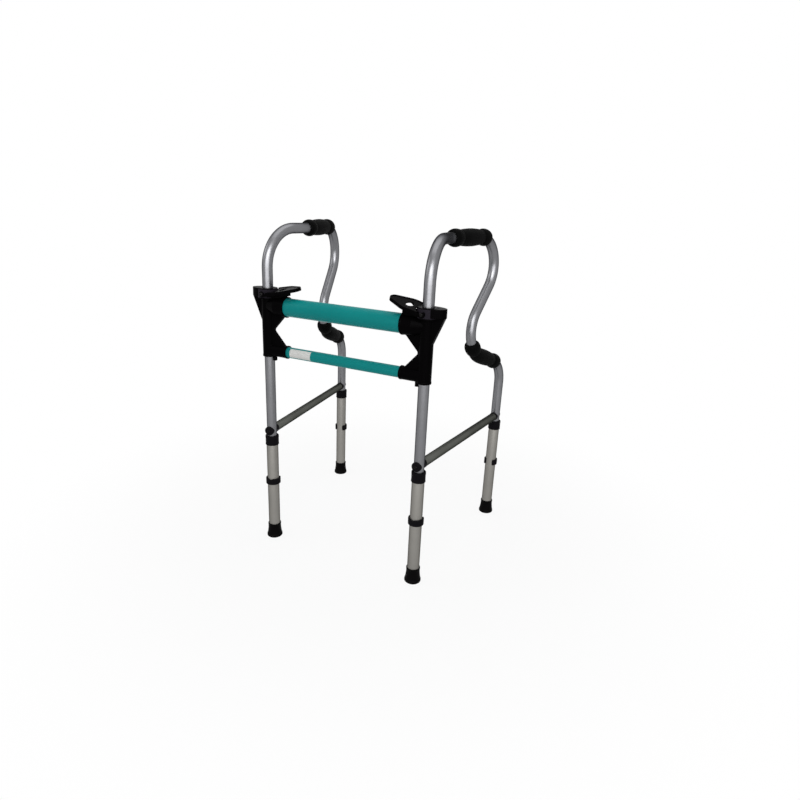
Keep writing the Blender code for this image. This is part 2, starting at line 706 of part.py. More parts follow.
def leaf_edge(inset):
    """The rear edge of the paddle's leaf, from the middle of its tip to its widest part."""
    centre_x = PADDLE_TIP + PADDLE_TIP_R
    lift = math.atan2(PADDLE_HALF_WIDTH - PADDLE_TIP_R, PADDLE_WIDE_X - centre_x)
    tip = arc_points((centre_x, 0), PADDLE_TIP_R - inset, math.pi, math.pi / 2 + lift, COARSE_STEP)
    return tip + [(PADDLE_WIDE_X - 0.008, PADDLE_HALF_WIDTH - 0.0022 - inset),
                  (PADDLE_WIDE_X + 0.002, PADDLE_HALF_WIDTH - inset)]


def leaf_mesh():
    """The leaf, its rim's top at z = 0: a plate inside the rim, a finger hole, and a notch for the hub."""
    notch = arc_points((0, 0), HUB_R + HUB_CLEARANCE, math.radians(112), math.pi, COARSE_STEP)
    upper = leaf_edge(0) + [(notch[0][0], ARM_OUTER)] + notch
    leaf = outline(upper + [(x, -y) for x, y in reversed(upper[1:-1])], PADDLE_RIM,
                   Matrix.Translation((0, 0, -PADDLE_RIM / 2)), 0.0010)
    inner = leaf_edge(PADDLE_RIM_WALL) + [(notch[0][0], ARM_INNER)]
    inside = inner + [(x, -y) for x, y in reversed(inner[1:])]
    dish = outline(inside, PADDLE_RIM, Matrix.Translation((0, 0, PADDLE_RIM / 2 - PADDLE_DISH)))
    under = -PADDLE_DISH - PADDLE_PLATE
    pocket = outline(inside, PADDLE_RIM, Matrix.Translation((0, 0, under - PADDLE_RIM / 2)))
    hole = [(FINGER_HOLE_X + FINGER_HOLE_LENGTH / 2 * x, FINGER_HOLE_WIDTH / 2 * y)
            for x, y in arc_points((0, 0), 1, 0, 2 * math.pi, COARSE_STEP)[:-1]]
    return cut(leaf, dish, pocket, outline(hole, PADDLE_RIM * 4))


def paddle_mesh():
    """The leaf and the two arms that reach down from it, beside the hub, to the pivot, which is its origin."""
    leaf = leaf_mesh()
    heel = Matrix.Translation((PADDLE_HEEL_X, 0, 0))
    raised = Matrix.Translation((PADDLE_HEEL_X, 0, PADDLE_HEEL_TOP))
    leaf.transform(raised @ Matrix.Rotation(PADDLE_SLOPE, 4, "Y") @ Matrix.Rotation(PADDLE_TILT, 4, "X")
                   @ heel.inverted())
    shoulder = PIVOT_X - ARM_END_R * 0.85
    end = arc_points((PIVOT_X, PIVOT_Z), ARM_END_R, math.radians(60), math.radians(-120), COARSE_STEP)
    arms = []
    for side in (-1, 1):
        middle = side * (ARM_INNER + ARM_OUTER) / 2
        heel_top = PADDLE_HEEL_TOP - PADDLE_DISH - PADDLE_PLATE / 2 + middle * math.tan(PADDLE_TILT)
        top = [(x, heel_top + (PADDLE_HEEL_X - x) * math.tan(PADDLE_SLOPE)) for x in (ARM_START, shoulder)]
        arm = [(ARM_START, top[0][1] - PADDLE_RIM / 2)] + top
        place = Matrix.Translation((0, middle, 0)) @ FLAT_TO_XZ
        arms.append(outline(arm + end + [(ARM_KNEE_X, ARM_KNEE_Z)], ARM_THICKNESS, place, 0.0008))
    pivot = Matrix.Translation((PIVOT_X, 0, PIVOT_Z)) @ ALONG_Y
    body = cut(union(leaf, *arms), cylinder(SCREW_R + GAP, -SCREW_OUT, SCREW_OUT, pivot, SMALL_ROUND))
    body.transform(Matrix.Translation((-PIVOT_X, 0, -PIVOT_Z)))
    return body


def paddle_screw_mesh():
    """A shouldered screw through a paddle's arm into the hub, on the Y axis, with its head outside."""
    seat = ARM_OUTER + GAP
    tip = HUB_R - 0.0065
    profile = [(0, SCREW_OUT), (SCREW_HEAD_R * 0.6, SCREW_OUT - SCREW_HEAD * 0.12),
               (SCREW_HEAD_R, seat + SCREW_HEAD * 0.3), (SCREW_HEAD_R, seat), (SCREW_R, seat), (SCREW_R, tip),
               (0, tip)]
    return turned(profile, ALONG_Y, SMALL_ROUND, hollow=False)


def lock_pin_mesh():
    """The pin that locks the side, on the X axis with its tip just short of the tube, and its collar."""
    front = spring_pocket()[1] - GAP - PIN_TIP_X
    back = front - PIN_COLLAR
    profile = [(0, 0), (PIN_R * 0.7, 0), (PIN_R, -PIN_R * 0.3), (PIN_R, front), (PIN_COLLAR_R, front),
               (PIN_COLLAR_R, back), (PIN_R, back), (PIN_R, -PIN_LENGTH), (0, -PIN_LENGTH)]
    return turned(profile, ALONG_X, SMALL_ROUND, hollow=False)


def spring_mesh():
    """The coil spring round the lock pin, between the end of its pocket and the pin's collar."""
    pocket_low, pocket_high = spring_pocket()
    low = pocket_low + GAP + SPRING_WIRE_R
    high = pocket_high - 2 * GAP - PIN_COLLAR - SPRING_WIRE_R
    radius = (PIN_R + GAP + PIN_COLLAR_R) / 2
    count = SPRING_TURNS * 8
    points = []
    for i in range(count + 1):
        angle = 2 * math.pi * i / 8
        along = low + (high - low) * i / count
        points.append(Vector((along, radius * math.cos(angle), radius * math.sin(angle))))
    return swept(points, [SPRING_WIRE_R] * len(points), sides=6)


# Assembly

def place_crossbars(root):
    make_part("top_crossbar", bar_mesh(TOP_BAR_OD, TOP_BAR_Z), "teal", root)
    make_part("lower_crossbar", bar_mesh(LOW_BAR_OD, LOW_BAR_Z), "teal", root)


def place_corners(root):
    """The housings at the ends of the crossbars, with their rivets, paddles, screws and locks."""
    housing = housing_mesh()
    paddle = paddle_mesh()
    screw = paddle_screw_mesh()
    pin = lock_pin_mesh()
    spring = spring_mesh()
    rivets = {"top": (rivet_mesh(TOP_BAR_OD), TOP_BAR_Z), "lower": (rivet_mesh(LOW_BAR_OD), LOW_BAR_Z)}
    for side, sign in (("right", 1), ("left", -1)):
        corner = make_empty(f"{side}_corner", (sign * FRONT_SPACING / 2, 0, 0), mirrored=sign < 0, parent=root)
        make_part(f"{side}_housing", housing, "black_plastic", corner)
        for which, (mesh, z) in rivets.items():
            make_part(f"{side}_{which}_rivet", mesh, "steel", corner, Matrix.Translation((RIVET_X, 0, z)))
        pivot = make_empty(f"{side}_paddle_pivot", (PIVOT_X, 0, PIVOT_Z), parent=corner)
        make_part(f"{side}_paddle", paddle, "black_plastic", pivot,
                  Matrix.Rotation(PADDLE_RAISED[side], 4, "Y"))
        make_part(f"{side}_rear_paddle_screw", screw, "steel", pivot)
        make_part(f"{side}_front_paddle_screw", screw, "steel", pivot, Matrix.Rotation(math.pi, 4, "Z"))
        make_part(f"{side}_lock_pin", pin, "steel", corner, Matrix.Translation((PIN_TIP_X, 0, PIN_Z)))
        make_part(f"{side}_lock_spring", spring, "steel", corner, Matrix.Translation((0, 0, PIN_Z)))


def place_sides(root):
    """The two side frames, each turned about its front leg, and their four leg extensions."""
    tube = side_tube_mesh()
    top_grip = grip_mesh(TUBE_BENDS[0][1] + TOP_GRIP_START)
    lower_grip = grip_mesh(TUBE_BENDS[4][0] + LOW_GRIP_OVERRUN - GRIP_LENGTH)
    pieces = [("tube", tube, "aluminium"), ("top_grip", top_grip, "foam"), ("lower_grip", lower_grip, "foam"),
              ("brace", brace_mesh(), "brace"), ("brace_cap", cap_mesh(), "black_plastic"),
              ("front_saddle", saddle_mesh(0, 1), "black_plastic"),
              ("rear_saddle", saddle_mesh(LEG_SPACING, -1), "black_plastic"),
              ("front_brace_bolt", front_bolt_mesh(), "steel"), ("rear_brace_bolt", rear_bolt_mesh(), "steel")]
    leg_pieces = [("extension", extension_mesh(), "aluminium"), ("collar", collar_mesh(), "black_plastic"),
                  ("clip", clip_mesh(), "black_plastic"), ("foot", foot_mesh(), "rubber")]
    for side, sign in (("right", 1), ("left", -1)):
        hinge = make_empty(f"{side}_fold_axis", (sign * FRONT_SPACING / 2, 0, 0), -sign * SPLAY, sign < 0, root)
        for name, mesh, material in pieces:
            make_part(f"{side}_side_{name}", mesh, material, hinge)
        for end, back, turn in (("front", 0.0, 0.0), ("rear", LEG_SPACING, math.pi)):
            leg = make_empty(f"{side}_{end}_leg_axis", (0, back, 0), turn, parent=hinge)
            for name, mesh, material in leg_pieces:
                make_part(f"{side}_{end}_{name}", mesh, material, leg)


frame_root = make_empty("frame_root", (0, FRONT_Y, 0))
place_crossbars(frame_root)
place_corners(frame_root)
place_sides(frame_root)
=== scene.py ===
import math

import bmesh
import bpy
from mathutils import Matrix, Vector, noise


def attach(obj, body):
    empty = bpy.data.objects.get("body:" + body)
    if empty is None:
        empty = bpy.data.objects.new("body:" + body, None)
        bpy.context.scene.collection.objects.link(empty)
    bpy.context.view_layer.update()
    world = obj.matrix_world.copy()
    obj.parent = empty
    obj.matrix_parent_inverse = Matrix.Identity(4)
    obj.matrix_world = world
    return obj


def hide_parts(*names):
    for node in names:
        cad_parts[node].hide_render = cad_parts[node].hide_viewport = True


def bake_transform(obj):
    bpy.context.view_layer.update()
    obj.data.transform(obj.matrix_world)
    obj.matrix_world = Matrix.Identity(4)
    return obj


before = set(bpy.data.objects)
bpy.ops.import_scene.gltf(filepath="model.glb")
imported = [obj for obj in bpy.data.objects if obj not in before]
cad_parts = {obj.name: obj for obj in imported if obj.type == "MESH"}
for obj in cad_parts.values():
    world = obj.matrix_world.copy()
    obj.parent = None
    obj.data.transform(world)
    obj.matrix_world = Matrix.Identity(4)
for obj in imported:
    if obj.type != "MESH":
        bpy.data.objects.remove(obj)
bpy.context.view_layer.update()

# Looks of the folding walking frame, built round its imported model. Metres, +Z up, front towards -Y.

# Overall layout, between tube centrelines
FRONT_SPACING = 0.419
REAR_SPACING = 0.520
DEPTH = 0.427
SPLAY = math.atan2((REAR_SPACING - FRONT_SPACING) / 2, DEPTH)
LEG_SPACING = math.hypot(DEPTH, (REAR_SPACING - FRONT_SPACING) / 2)
GAP = 0.0003

# Bent side tube
TUBE_R = 0.0127
TUBE_WALL = 0.0016
TUBE_END_EASE = 0.0004
TUBE_BOTTOM = 0.045
HANDLE_HEIGHT = 0.812
BEND_RADII = (0.090, 0.150, 0.074, 0.074, 0.074)
TOP_REACH = 0.3465
WAIST_REACH = 0.258
BACK_LEAN = math.radians(40.9)
LOW_SLOPE = math.radians(19.8)
CRANK_REACH = 0.133
CRANK_IN = 0.0318
TOP_CORNER_IN = 0.0045
WAIST_CORNER_IN = 0.0232

# Foam grips, measured along the tube
GRIP_LENGTH = 0.158
GRIP_R = 0.0206
GRIP_NECK_R = 0.0163
GRIP_END_R = 0.0142
GRIP_LIP = 0.09
GRIP_STEP = 0.0012
GRIP_FACETS = 64
BULB_SHARE = 0.097
GROOVE_SHARE = 0.200
TOP_GRIP_START = 0.055
LOW_GRIP_OVERRUN = 0.0185
FOAM_GAP = 0.0005

# Legs
BORE_R = TUBE_R + GAP
EXTENSION_R = BORE_R + 0.0020
SEAT_R = EXTENSION_R + GAP
EXTENSION_TOP = 0.2942
COLLAR_LIP = 0.0020
COLLAR_LENGTH = 0.025
COLLAR_WAIST_DEPTH = 0.00035
COLLAR_TOP = EXTENSION_TOP + GAP + COLLAR_LIP
COLLAR_BOTTOM = COLLAR_TOP - COLLAR_LENGTH
COLLAR_R = SEAT_R + 0.0019
CLIP_Z = 0.1675
CLIP_HEIGHT = 0.016
CLIP_R = SEAT_R + 0.0037
CLIP_WRAP = math.radians(285)
CLIP_DIP = 0.0022
CLIP_DIP_SPREAD = 0.30
PEG_R = 0.0035
FOOT_HEIGHT = 0.0387
FOOT_BASE_R = 0.0205
FOOT_FLOOR = 0.008

# Brace and its fasteners
BRACE_Z = 0.3115
BRACE_R = 0.0111
BRACE_WALL = 0.0013
BRACE_PLUG = 0.020
SADDLE_R = 0.0118
BRACE_END = TUBE_R + 0.0045 + 2 * GAP
BOLT_R = 0.0030
BOLT_REACH = 0.016
SEAT_RINGS = (BOLT_R + GAP, 0.005, 0.007, 0.009, 0.0104, SADDLE_R - 0.0004)
SEAT_FLARE = 1.034
CAP_REACH = 0.0036
CAP_FLAT = 0.0012
CAP_DOME = 0.0022
NUT_R = 0.0085
NUT_LENGTH = 0.0085

# Crossbars
TOP_BAR_Z = 0.635
TOP_BAR_R = 0.0218
LOW_BAR_Z = 0.5252
LOW_BAR_R = 0.01305
BAR_WALL = 0.0018
LABEL_START = -0.1405
LABEL_END = -0.0815
LABEL_RISE = 0.00008
LABEL_THICKNESS = 0.00012
LABEL_LOW_DEGREES = -38
LABEL_WRAP_DEGREES = 100

# Corner moulding, measured from the axis of its leg
SOCKET_REACH = 0.0580
SOCKET_DEPTH = 0.0288
SOCKET_WALL = 0.0020
SLEEVE_R = 0.0157
SLEEVE_BOTTOM = 0.5085
SLEEVE_BAND_RISE = 0.0006
SLEEVE_BAND_HEIGHT = 0.0048
HUB_R = 0.0232
HUB_BOTTOM = 0.652
HUB_TOP = 0.6765
HUB_FOOT_RISE = 0.0005
BUSH_RISE = 0.0003
BUSH_THICKNESS = 0.0012
SOCKET_BEAD = 0.0007
WEB_RIM_X = -0.0495
WEB_THICKNESS = 0.010
NOTCH_X = -0.0155
NOTCH_R = 0.0065
NOTCH_SHARE = 0.4983
FLANGE_REACH = 0.0418
FLANGE_REAR_WIDTH = 0.0250
FLANGE_FRONT_WIDTH = 0.0200
FLANGE_THICKNESS = 0.0195
GUSSET_TOP_DROP = 0.0185
GUSSET_REACH = 0.0403
GUSSET_HEIGHT = 0.059
GUSSET_THICKNESS = 0.014
BLOCK_TOP = 0.667
BLOCK_REACH = 0.0520
BLOCK_END_HEIGHT = 0.0075
BLOCK_SLANT_X = -0.0400
BLOCK_WIDTH = 0.040
BOSS_WALL = 0.0023
BOSS_REACH = 0.0425
LUG_HALF_HEIGHT = 0.0095
LUG_SIZE = 0.0075
SPRING_BORE_LENGTH = 0.018
SPRING_BORE_WALL = 0.0015
RIVET_HOLE_R = 0.0021
RIVET_R = 0.0018
RIVET_HEAD_R = 0.0040
SCREW_HOLE_R = 0.0023
SCREW_R = 0.0020
SCREW_HEAD_R = 0.0040
PIVOT_X = -0.0035
PIVOT_Z = 0.6635
ARM_INNER = HUB_R + 2 * GAP
ARM_OUTER = ARM_INNER + 0.0055
ARM_END_R = 0.0072
SCREW_OUT = ARM_OUTER + GAP + 0.0022
PIN_R = 0.0025
PIN_COLLAR_R = 0.0042
PIN_COLLAR_LENGTH = 0.002
PIN_FLOOR = 0.0012
SPRING_WIRE_R = 0.0005
PIN_Z = TOP_BAR_Z + TOP_BAR_R + PIN_FLOOR + GAP + PIN_COLLAR_R
RIVET_X = -0.0460

# Where the front legs stand, with the middle of the whole plan at y = 0
FRONT_MOST = -SCREW_OUT
REAR_MOST = DEPTH + max(FOOT_BASE_R, math.cos(SPLAY) * (BORE_R + NUT_LENGTH))
FRONT_Y = -(FRONT_MOST + REAR_MOST) / 2

# How finely arcs, rounded corners and turned pieces are divided
FINE = math.radians(4)
COARSE = math.radians(12)
FACETS = 56

ALONG_X = Matrix.Rotation(math.pi / 2, 4, "Y")
ALONG_Y = Matrix.Rotation(-math.pi / 2, 4, "X")
FLAT_TO_XZ = Matrix.Rotation(math.pi / 2, 4, "X")


def shift(x=0.0, y=0.0, z=0.0):
    return Matrix.Translation((x, y, z))


def corner_place(sign):
    """Where the parts round a front leg go, mirrored for the left side."""
    return shift(sign * FRONT_SPACING / 2, FRONT_Y) @ Matrix.Diagonal((sign, 1, 1, 1))


def side_place(sign):
    """Where a side frame goes: its plane toes out towards the rear."""
    turn = Matrix.Rotation(-sign * SPLAY, 4, "Z")
    return shift(sign * FRONT_SPACING / 2, FRONT_Y) @ turn @ Matrix.Diagonal((sign, 1, 1, 1))


# Shapes

def eased(corners, closed=False):
    """A flat line of (x, y, radius) corners, each rounded off to its radius."""
    line = []
    last = len(corners) - 1
    for i, (x, y, radius) in enumerate(corners):
        here = Vector((x, y))
        if not radius or (not closed and i in (0, last)):
            line.append((x, y))
            continue
        back = Vector(corners[i - 1][:2]) - here
        ahead = Vector(corners[(i + 1) % len(corners)][:2]) - here
        turn = math.pi - back.angle(ahead)
        reach = min(radius * math.tan(turn / 2), 0.49 * back.length, 0.49 * ahead.length)
        radius = reach / math.tan(turn / 2)
        start = here + back.normalized() * reach
        centre = here + (back.normalized() + ahead.normalized()).normalized() * radius / math.cos(turn / 2)
        spoke = start - centre
        way = 1 if back.x * ahead.y - back.y * ahead.x < 0 else -1
        count = max(1, math.ceil(turn / COARSE))
        for k in range(count + 1):
            angle = way * turn * k / count
            c, s = math.cos(angle), math.sin(angle)
            line.append((centre.x + c * spoke.x - s * spoke.y, centre.y + s * spoke.x + c * spoke.y))
    return line


def arc(centre, radius, first, last):
    count = max(2, math.ceil(abs(last - first) / FINE))
    angles = [first + (last - first) * i / count for i in range(count + 1)]
    return [(centre[0] + radius * math.cos(a), centre[1] + radius * math.sin(a)) for a in angles]


def skin(rows, closed, wrapped=True):
    """A mesh through rows of points. Wrapped rows are rings; closed joins the last row to the first."""
    shape = bmesh.new()
    run = shape.loops.layers.uv.new("run")
    verts = [[shape.verts.new(point) for point in row] for row in rows]
    along = [0.0]
    for a, b in zip(rows, rows[1:] + rows[:1]):
        along.append(along[-1] + (Vector(b[0]) - Vector(a[0])).length)
    width = len(rows[0])
    around = [0.0]
    middle = rows[len(rows) // 2]
    for a, b in zip(middle, middle[1:] + middle[:1]):
        around.append(around[-1] + (Vector(b) - Vector(a)).length)
    for i in range(len(rows) if closed else len(rows) - 1):
        for k in range(width if wrapped else width - 1):
            near, far = verts[i], verts[(i + 1) % len(rows)]
            face = shape.faces.new((near[k], near[(k + 1) % width], far[(k + 1) % width], far[k]))
            for loop, (u, v) in zip(face.loops, ((k, i), (k + 1, i), (k + 1, i + 1), (k, i + 1))):
                loop[run].uv = (around[u], along[v])
    bmesh.ops.remove_doubles(shape, verts=shape.verts, dist=0.0000005)
    bmesh.ops.dissolve_degenerate(shape, edges=shape.edges, dist=0.0000001)
    bmesh.ops.recalc_face_normals(shape, faces=shape.faces)
    mesh = bpy.data.meshes.new("skin")
    shape.to_mesh(mesh)
    shape.free()
    return mesh


def ring(radius, height, sides=FACETS):
    turns = [2 * math.pi * k / sides for k in range(sides)]
    return [(radius * math.cos(a), radius * math.sin(a), height) for a in turns]


def turned(profile, place=Matrix.Identity(4), sides=FACETS):
    """A turned piece from its (radius, height) profile: a loop, or a line from the axis back to it."""
    mesh = skin([ring(r, z, sides) for r, z in profile], closed=profile[0][0] > 0)
    mesh.transform(place)
    return mesh


def swept_rows(points, radii, sides=FACETS):
    """Rings round a path, turned no more than the path turns them."""
    rows = []
    normal = Vector((1, 0, 0))
    for i, (point, radius) in enumerate(zip(points, radii)):
        before = points[max(i - 1, 0)]
        after = points[min(i + 1, len(points) - 1)]
        tangent = (after - before).normalized()
        normal = (normal - tangent * normal.dot(tangent)).normalized()
        binormal = tangent.cross(normal)
        rows.append([point + radius * (math.cos(a) * normal + math.sin(a) * binormal)
                     for a in (2 * math.pi * k / sides for k in range(sides))])
    return rows


def plate(outline, thickness, place=Matrix.Identity(4)):
    """A flat plate with its outline in XY, as thick as asked about z = 0."""
    shape = bmesh.new()
    low = [shape.verts.new((x, y, -thickness / 2)) for x, y in outline]
    face = shape.faces.new(low)
    raised = bmesh.ops.extrude_face_region(shape, geom=[face])
    top = [v for v in raised["geom"] if isinstance(v, bmesh.types.BMVert)]
    bmesh.ops.translate(shape, verts=top, vec=(0, 0, thickness))
    bmesh.ops.recalc_face_normals(shape, faces=shape.faces)
    mesh = bpy.data.meshes.new("plate")
    shape.to_mesh(mesh)
    shape.free()
    mesh.transform(place)
    return mesh


def rod(radius, low, high, place=Matrix.Identity(4), sides=FACETS):
    return turned([(0, low), (radius, low), (radius, high), (0, high)], place, sides)


def through_modifier(mesh, kind, settings):
    """The mesh after one modifier."""
    obj = bpy.data.objects.new("working", mesh)
    bpy.context.scene.collection.objects.link(obj)
    modifier = obj.modifiers.new(kind, kind)
    for name, value in settings.items():
        setattr(modifier, name, value)
    bpy.context.view_layer.update()
    made = bpy.data.meshes.new_from_object(obj.evaluated_get(bpy.context.evaluated_depsgraph_get()))
    bpy.data.objects.remove(obj)
    return made


def joined(mesh, others, operation):
    for other in others:
        tool = bpy.data.objects.new("tool", other)
        bpy.context.scene.collection.objects.link(tool)
        settings = {"operation": operation, "solver": "MANIFOLD", "object": tool}
        mesh = through_modifier(mesh, "BOOLEAN", settings)
        bpy.data.objects.remove(tool)
    return mesh


def moulded(mesh, grain, softening, share):
    """The mesh as one moulding, with every edge and inner corner rounded a little."""
    mesh = through_modifier(mesh, "REMESH", {"mode": "VOXEL", "voxel_size": grain, "adaptivity": 0.0})
    mesh = through_modifier(mesh, "SMOOTH", {"factor": 0.5, "iterations": softening})
    return through_modifier(mesh, "DECIMATE", {"decimate_type": "COLLAPSE", "ratio": share})


# The bent side tube and its grips

def tube_corners():
    """Corners of the side tube's centreline, front foot to rear. A reach is where its bend comes furthest."""
    bend = BEND_RADII[-1]
    top_centre = Vector((TOP_REACH - bend, HANDLE_HEIGHT - bend))
    down = Vector((-math.sin(BACK_LEAN), -math.cos(BACK_LEAN)))
    behind = Vector((math.cos(BACK_LEAN), -math.sin(BACK_LEAN)))
    leaving = top_centre + bend * behind
    top_corner = leaving - down * (HANDLE_HEIGHT - leaving.y) / -down.y
    waist_x = WAIST_REACH + bend
    waist_z = leaving.y + (bend - (waist_x - leaving.x) * behind.x) / behind.y
    low = Vector((math.cos(LOW_SLOPE), -math.sin(LOW_SLOPE)))
    entering = Vector((waist_x, waist_z)) - bend * Vector((math.sin(LOW_SLOPE), math.cos(LOW_SLOPE)))
    gap = entering - leaving
    waist_corner = leaving + down * (gap.x * low.y - gap.y * low.x) / (down.x * low.y - down.y * low.x)
    low_corner_z = entering.y + (LEG_SPACING - entering.x) * low.y / low.x
    return [
        Vector((0, 0, TUBE_BOTTOM)),
        Vector((0, 0, HANDLE_HEIGHT)),
        Vector((-CRANK_IN, CRANK_REACH, HANDLE_HEIGHT)),
        Vector((-TOP_CORNER_IN, top_corner.x, top_corner.y)),
        Vector((-WAIST_CORNER_IN, waist_corner.x, waist_corner.y)),
        Vector((0, LEG_SPACING, low_corner_z)),
        Vector((0, LEG_SPACING, TUBE_BOTTOM)),
    ]


def bent(corners, radii):
    """Points along straight runs joined by arcs, and where along them each bend starts and ends."""
    points = [corners[0]]
    bends = []
    travelled = 0.0
    for before, corner, after, radius in zip(corners, corners[1:], corners[2:], radii):
        back = (before - corner).normalized()
        ahead = (after - corner).normalized()
        turn = math.pi - back.angle(ahead)
        start = corner + back * radius * math.tan(turn / 2)
        centre = corner + (back + ahead).normalized() * radius / math.cos(turn / 2)
        spoke = (start - centre) / radius
        count = math.ceil(turn / FINE)
        travelled += (start - points[-1]).length
        first = travelled
        curve = [centre + radius * (math.cos(turn * i / count) * spoke - math.sin(turn * i / count) * back)
                 for i in range(count + 1)]
        travelled += sum((b - a).length for a, b in zip(curve, curve[1:]))
        bends.append((first, travelled))
        points += curve
    points.append(corners[-1])
    return points, bends


TUBE_PATH, TUBE_BENDS = bent(tube_corners(), BEND_RADII)


def stretch(start, end):
    """Points of the tube's centreline between two distances along it, with their distances."""
    distances = [0.0]
    for a, b in zip(TUBE_PATH, TUBE_PATH[1:]):
        distances.append(distances[-1] + (b - a).length)
    count = max(2, math.ceil((end - start) / GRIP_STEP))
    result = []
    k = 0
    for i in range(count + 1):
        wanted = start + (end - start) * i / count
        while k < len(distances) - 2 and distances[k + 1] < wanted:
            k += 1
        share = (wanted - distances[k]) / (distances[k + 1] - distances[k])
        result.append((TUBE_PATH[k].lerp(TUBE_PATH[k + 1], share), wanted))
    return result


def side_tube_mesh():
    radii = [TUBE_R - TUBE_END_EASE] + [TUBE_R] * (len(TUBE_PATH) - 2) + [TUBE_R - TUBE_END_EASE]
    rows = swept_rows(TUBE_PATH, radii)
    inner = swept_rows(TUBE_PATH, [TUBE_R - TUBE_WALL] * len(TUBE_PATH))
    return skin(rows + inner[::-1], closed=True)


def grip_radius(share):
    """The foam's radius along a grip: a bulb at each end, a swelling between two grooves."""
    share = max(0.0, min(share, 1 - share))
    if share < BULB_SHARE:
        return GRIP_END_R + (GRIP_R - GRIP_END_R) * math.sqrt(1 - (1 - share / BULB_SHARE) ** 2)
    if share < GROOVE_SHARE:
        fall = (share - BULB_SHARE) / (GROOVE_SHARE - BULB_SHARE)
        return GRIP_NECK_R + (GRIP_R - GRIP_NECK_R) * math.sqrt(1 - fall ** 1.7)
    rise = min(1.0, (share - GROOVE_SHARE) / (0.5 - GROOVE_SHARE))
    return GRIP_NECK_R + (GRIP_R - GRIP_NECK_R) * math.sin(rise * math.pi / 2) ** 0.6


def grip_mesh(start):
    """A foam sleeve on the tube, a little uneven, as cut and pushed on by hand."""
    body = stretch(start, start + GRIP_LENGTH)
    line = [point for point, _ in body]
    radii = [grip_radius((travelled - start) / GRIP_LENGTH) for _, travelled in body]
    rows = swept_rows(line, radii, GRIP_FACETS)
    for axis, row in zip(line, rows):
        for k, point in enumerate(row):
            uneven = noise.noise(point * 55) * 0.00022 + noise.noise(point * 240) * 0.00007
            row[k] = point + (point - axis).normalized() * uneven
    hollow = swept_rows(line, [TUBE_R + FOAM_GAP] * len(line), GRIP_FACETS)
    first = [point.lerp(line[0], GRIP_LIP) for point in rows[0]]
    last = [point.lerp(line[-1], GRIP_LIP) for point in rows[-1]]
    return skin([first] + rows + [last] + hollow[::-1], closed=True)


# Leg pieces, measured from their leg's axis

def extension_mesh():
    low = FOOT_FLOOR + GAP
    profile = eased([(EXTENSION_R, EXTENSION_TOP, 0.0005), (EXTENSION_R, low, 0.0005), (BORE_R, low, 0.0004),
                     (BORE_R, EXTENSION_TOP, 0.0005)], closed=True)
    return turned(profile)


def collar_mesh():
    """The collar: a shallow waist between two rims, and a lip that sits on the top of the outer leg."""
    shoulder = COLLAR_TOP - COLLAR_LIP
    waist_r = COLLAR_R - COLLAR_WAIST_DEPTH
    profile = eased([(COLLAR_R - 0.0002, COLLAR_TOP, 0.0011), (COLLAR_R, COLLAR_TOP - 0.004, 0.0),
                     (COLLAR_R, COLLAR_TOP - 0.0060, 0.0002), (waist_r, COLLAR_TOP - 0.0064, 0.0002),
                     (waist_r, COLLAR_BOTTOM + 0.0030, 0.0002), (COLLAR_R, COLLAR_BOTTOM + 0.0026, 0.0002),
                     (COLLAR_R, COLLAR_BOTTOM, 0.0006), (SEAT_R, COLLAR_BOTTOM, 0.0003),
                     (SEAT_R, shoulder, 0.0), (BORE_R, shoulder, 0.0), (BORE_R, COLLAR_TOP, 0.0005)],
                    closed=True)
    return turned(profile)


def clip_mesh():
    """The snap clip: a springy band open at the back, its top edge dipping over the peg in front."""
    rows = []
    count = 72
    for i in range(count + 1):
        share = i / count
        angle = -math.pi / 2 + CLIP_WRAP * (share - 0.5)
        off_front = abs(share - 0.5) * CLIP_WRAP
        dip = CLIP_DIP * math.exp(-(off_front / CLIP_DIP_SPREAD) ** 2)
        near_end = max(0.0, 1 - (1 - abs(2 * share - 1)) / 0.05)
        taper = math.sqrt(max(0.0, 1 - near_end ** 2))
        inner = SEAT_R
        outer = inner + (CLIP_R - SEAT_R) * (0.35 + 0.65 * taper)
        half = CLIP_HEIGHT / 2 - 0.0016 * near_end ** 2
        section = eased([(outer, CLIP_Z - half, 0.0011), (outer, CLIP_Z + half - dip, 0.0011),
                         (inner, CLIP_Z + half - dip, 0.0003), (inner, CLIP_Z - half, 0.0003)], closed=True)
        rows.append([(r * math.cos(angle), r * math.sin(angle), z) for r, z in section])
    shape = bmesh.new()
    band = skin(rows, closed=False)
    shape.from_mesh(band)
    bmesh.ops.holes_fill(shape, edges=[e for e in shape.edges if e.is_boundary], sides=0)
    bmesh.ops.recalc_face_normals(shape, faces=shape.faces)
    shape.to_mesh(band)
    shape.free()
    peg = rod(PEG_R, -(SEAT_R + 0.002), -BORE_R, shift(z=CLIP_Z) @ ALONG_Y, 32)
    boss = turned([(0, -(CLIP_R + 0.00002)), (0.0030, -(CLIP_R - 0.0001)), (0.0037, -(CLIP_R - 0.0010)),
                   (0.0037, -(SEAT_R + 0.001)), (0, -(SEAT_R + 0.001))],
                  shift(z=CLIP_Z - 0.001) @ ALONG_Y, 32)
    return joined(band, [peg, boss], "UNION")


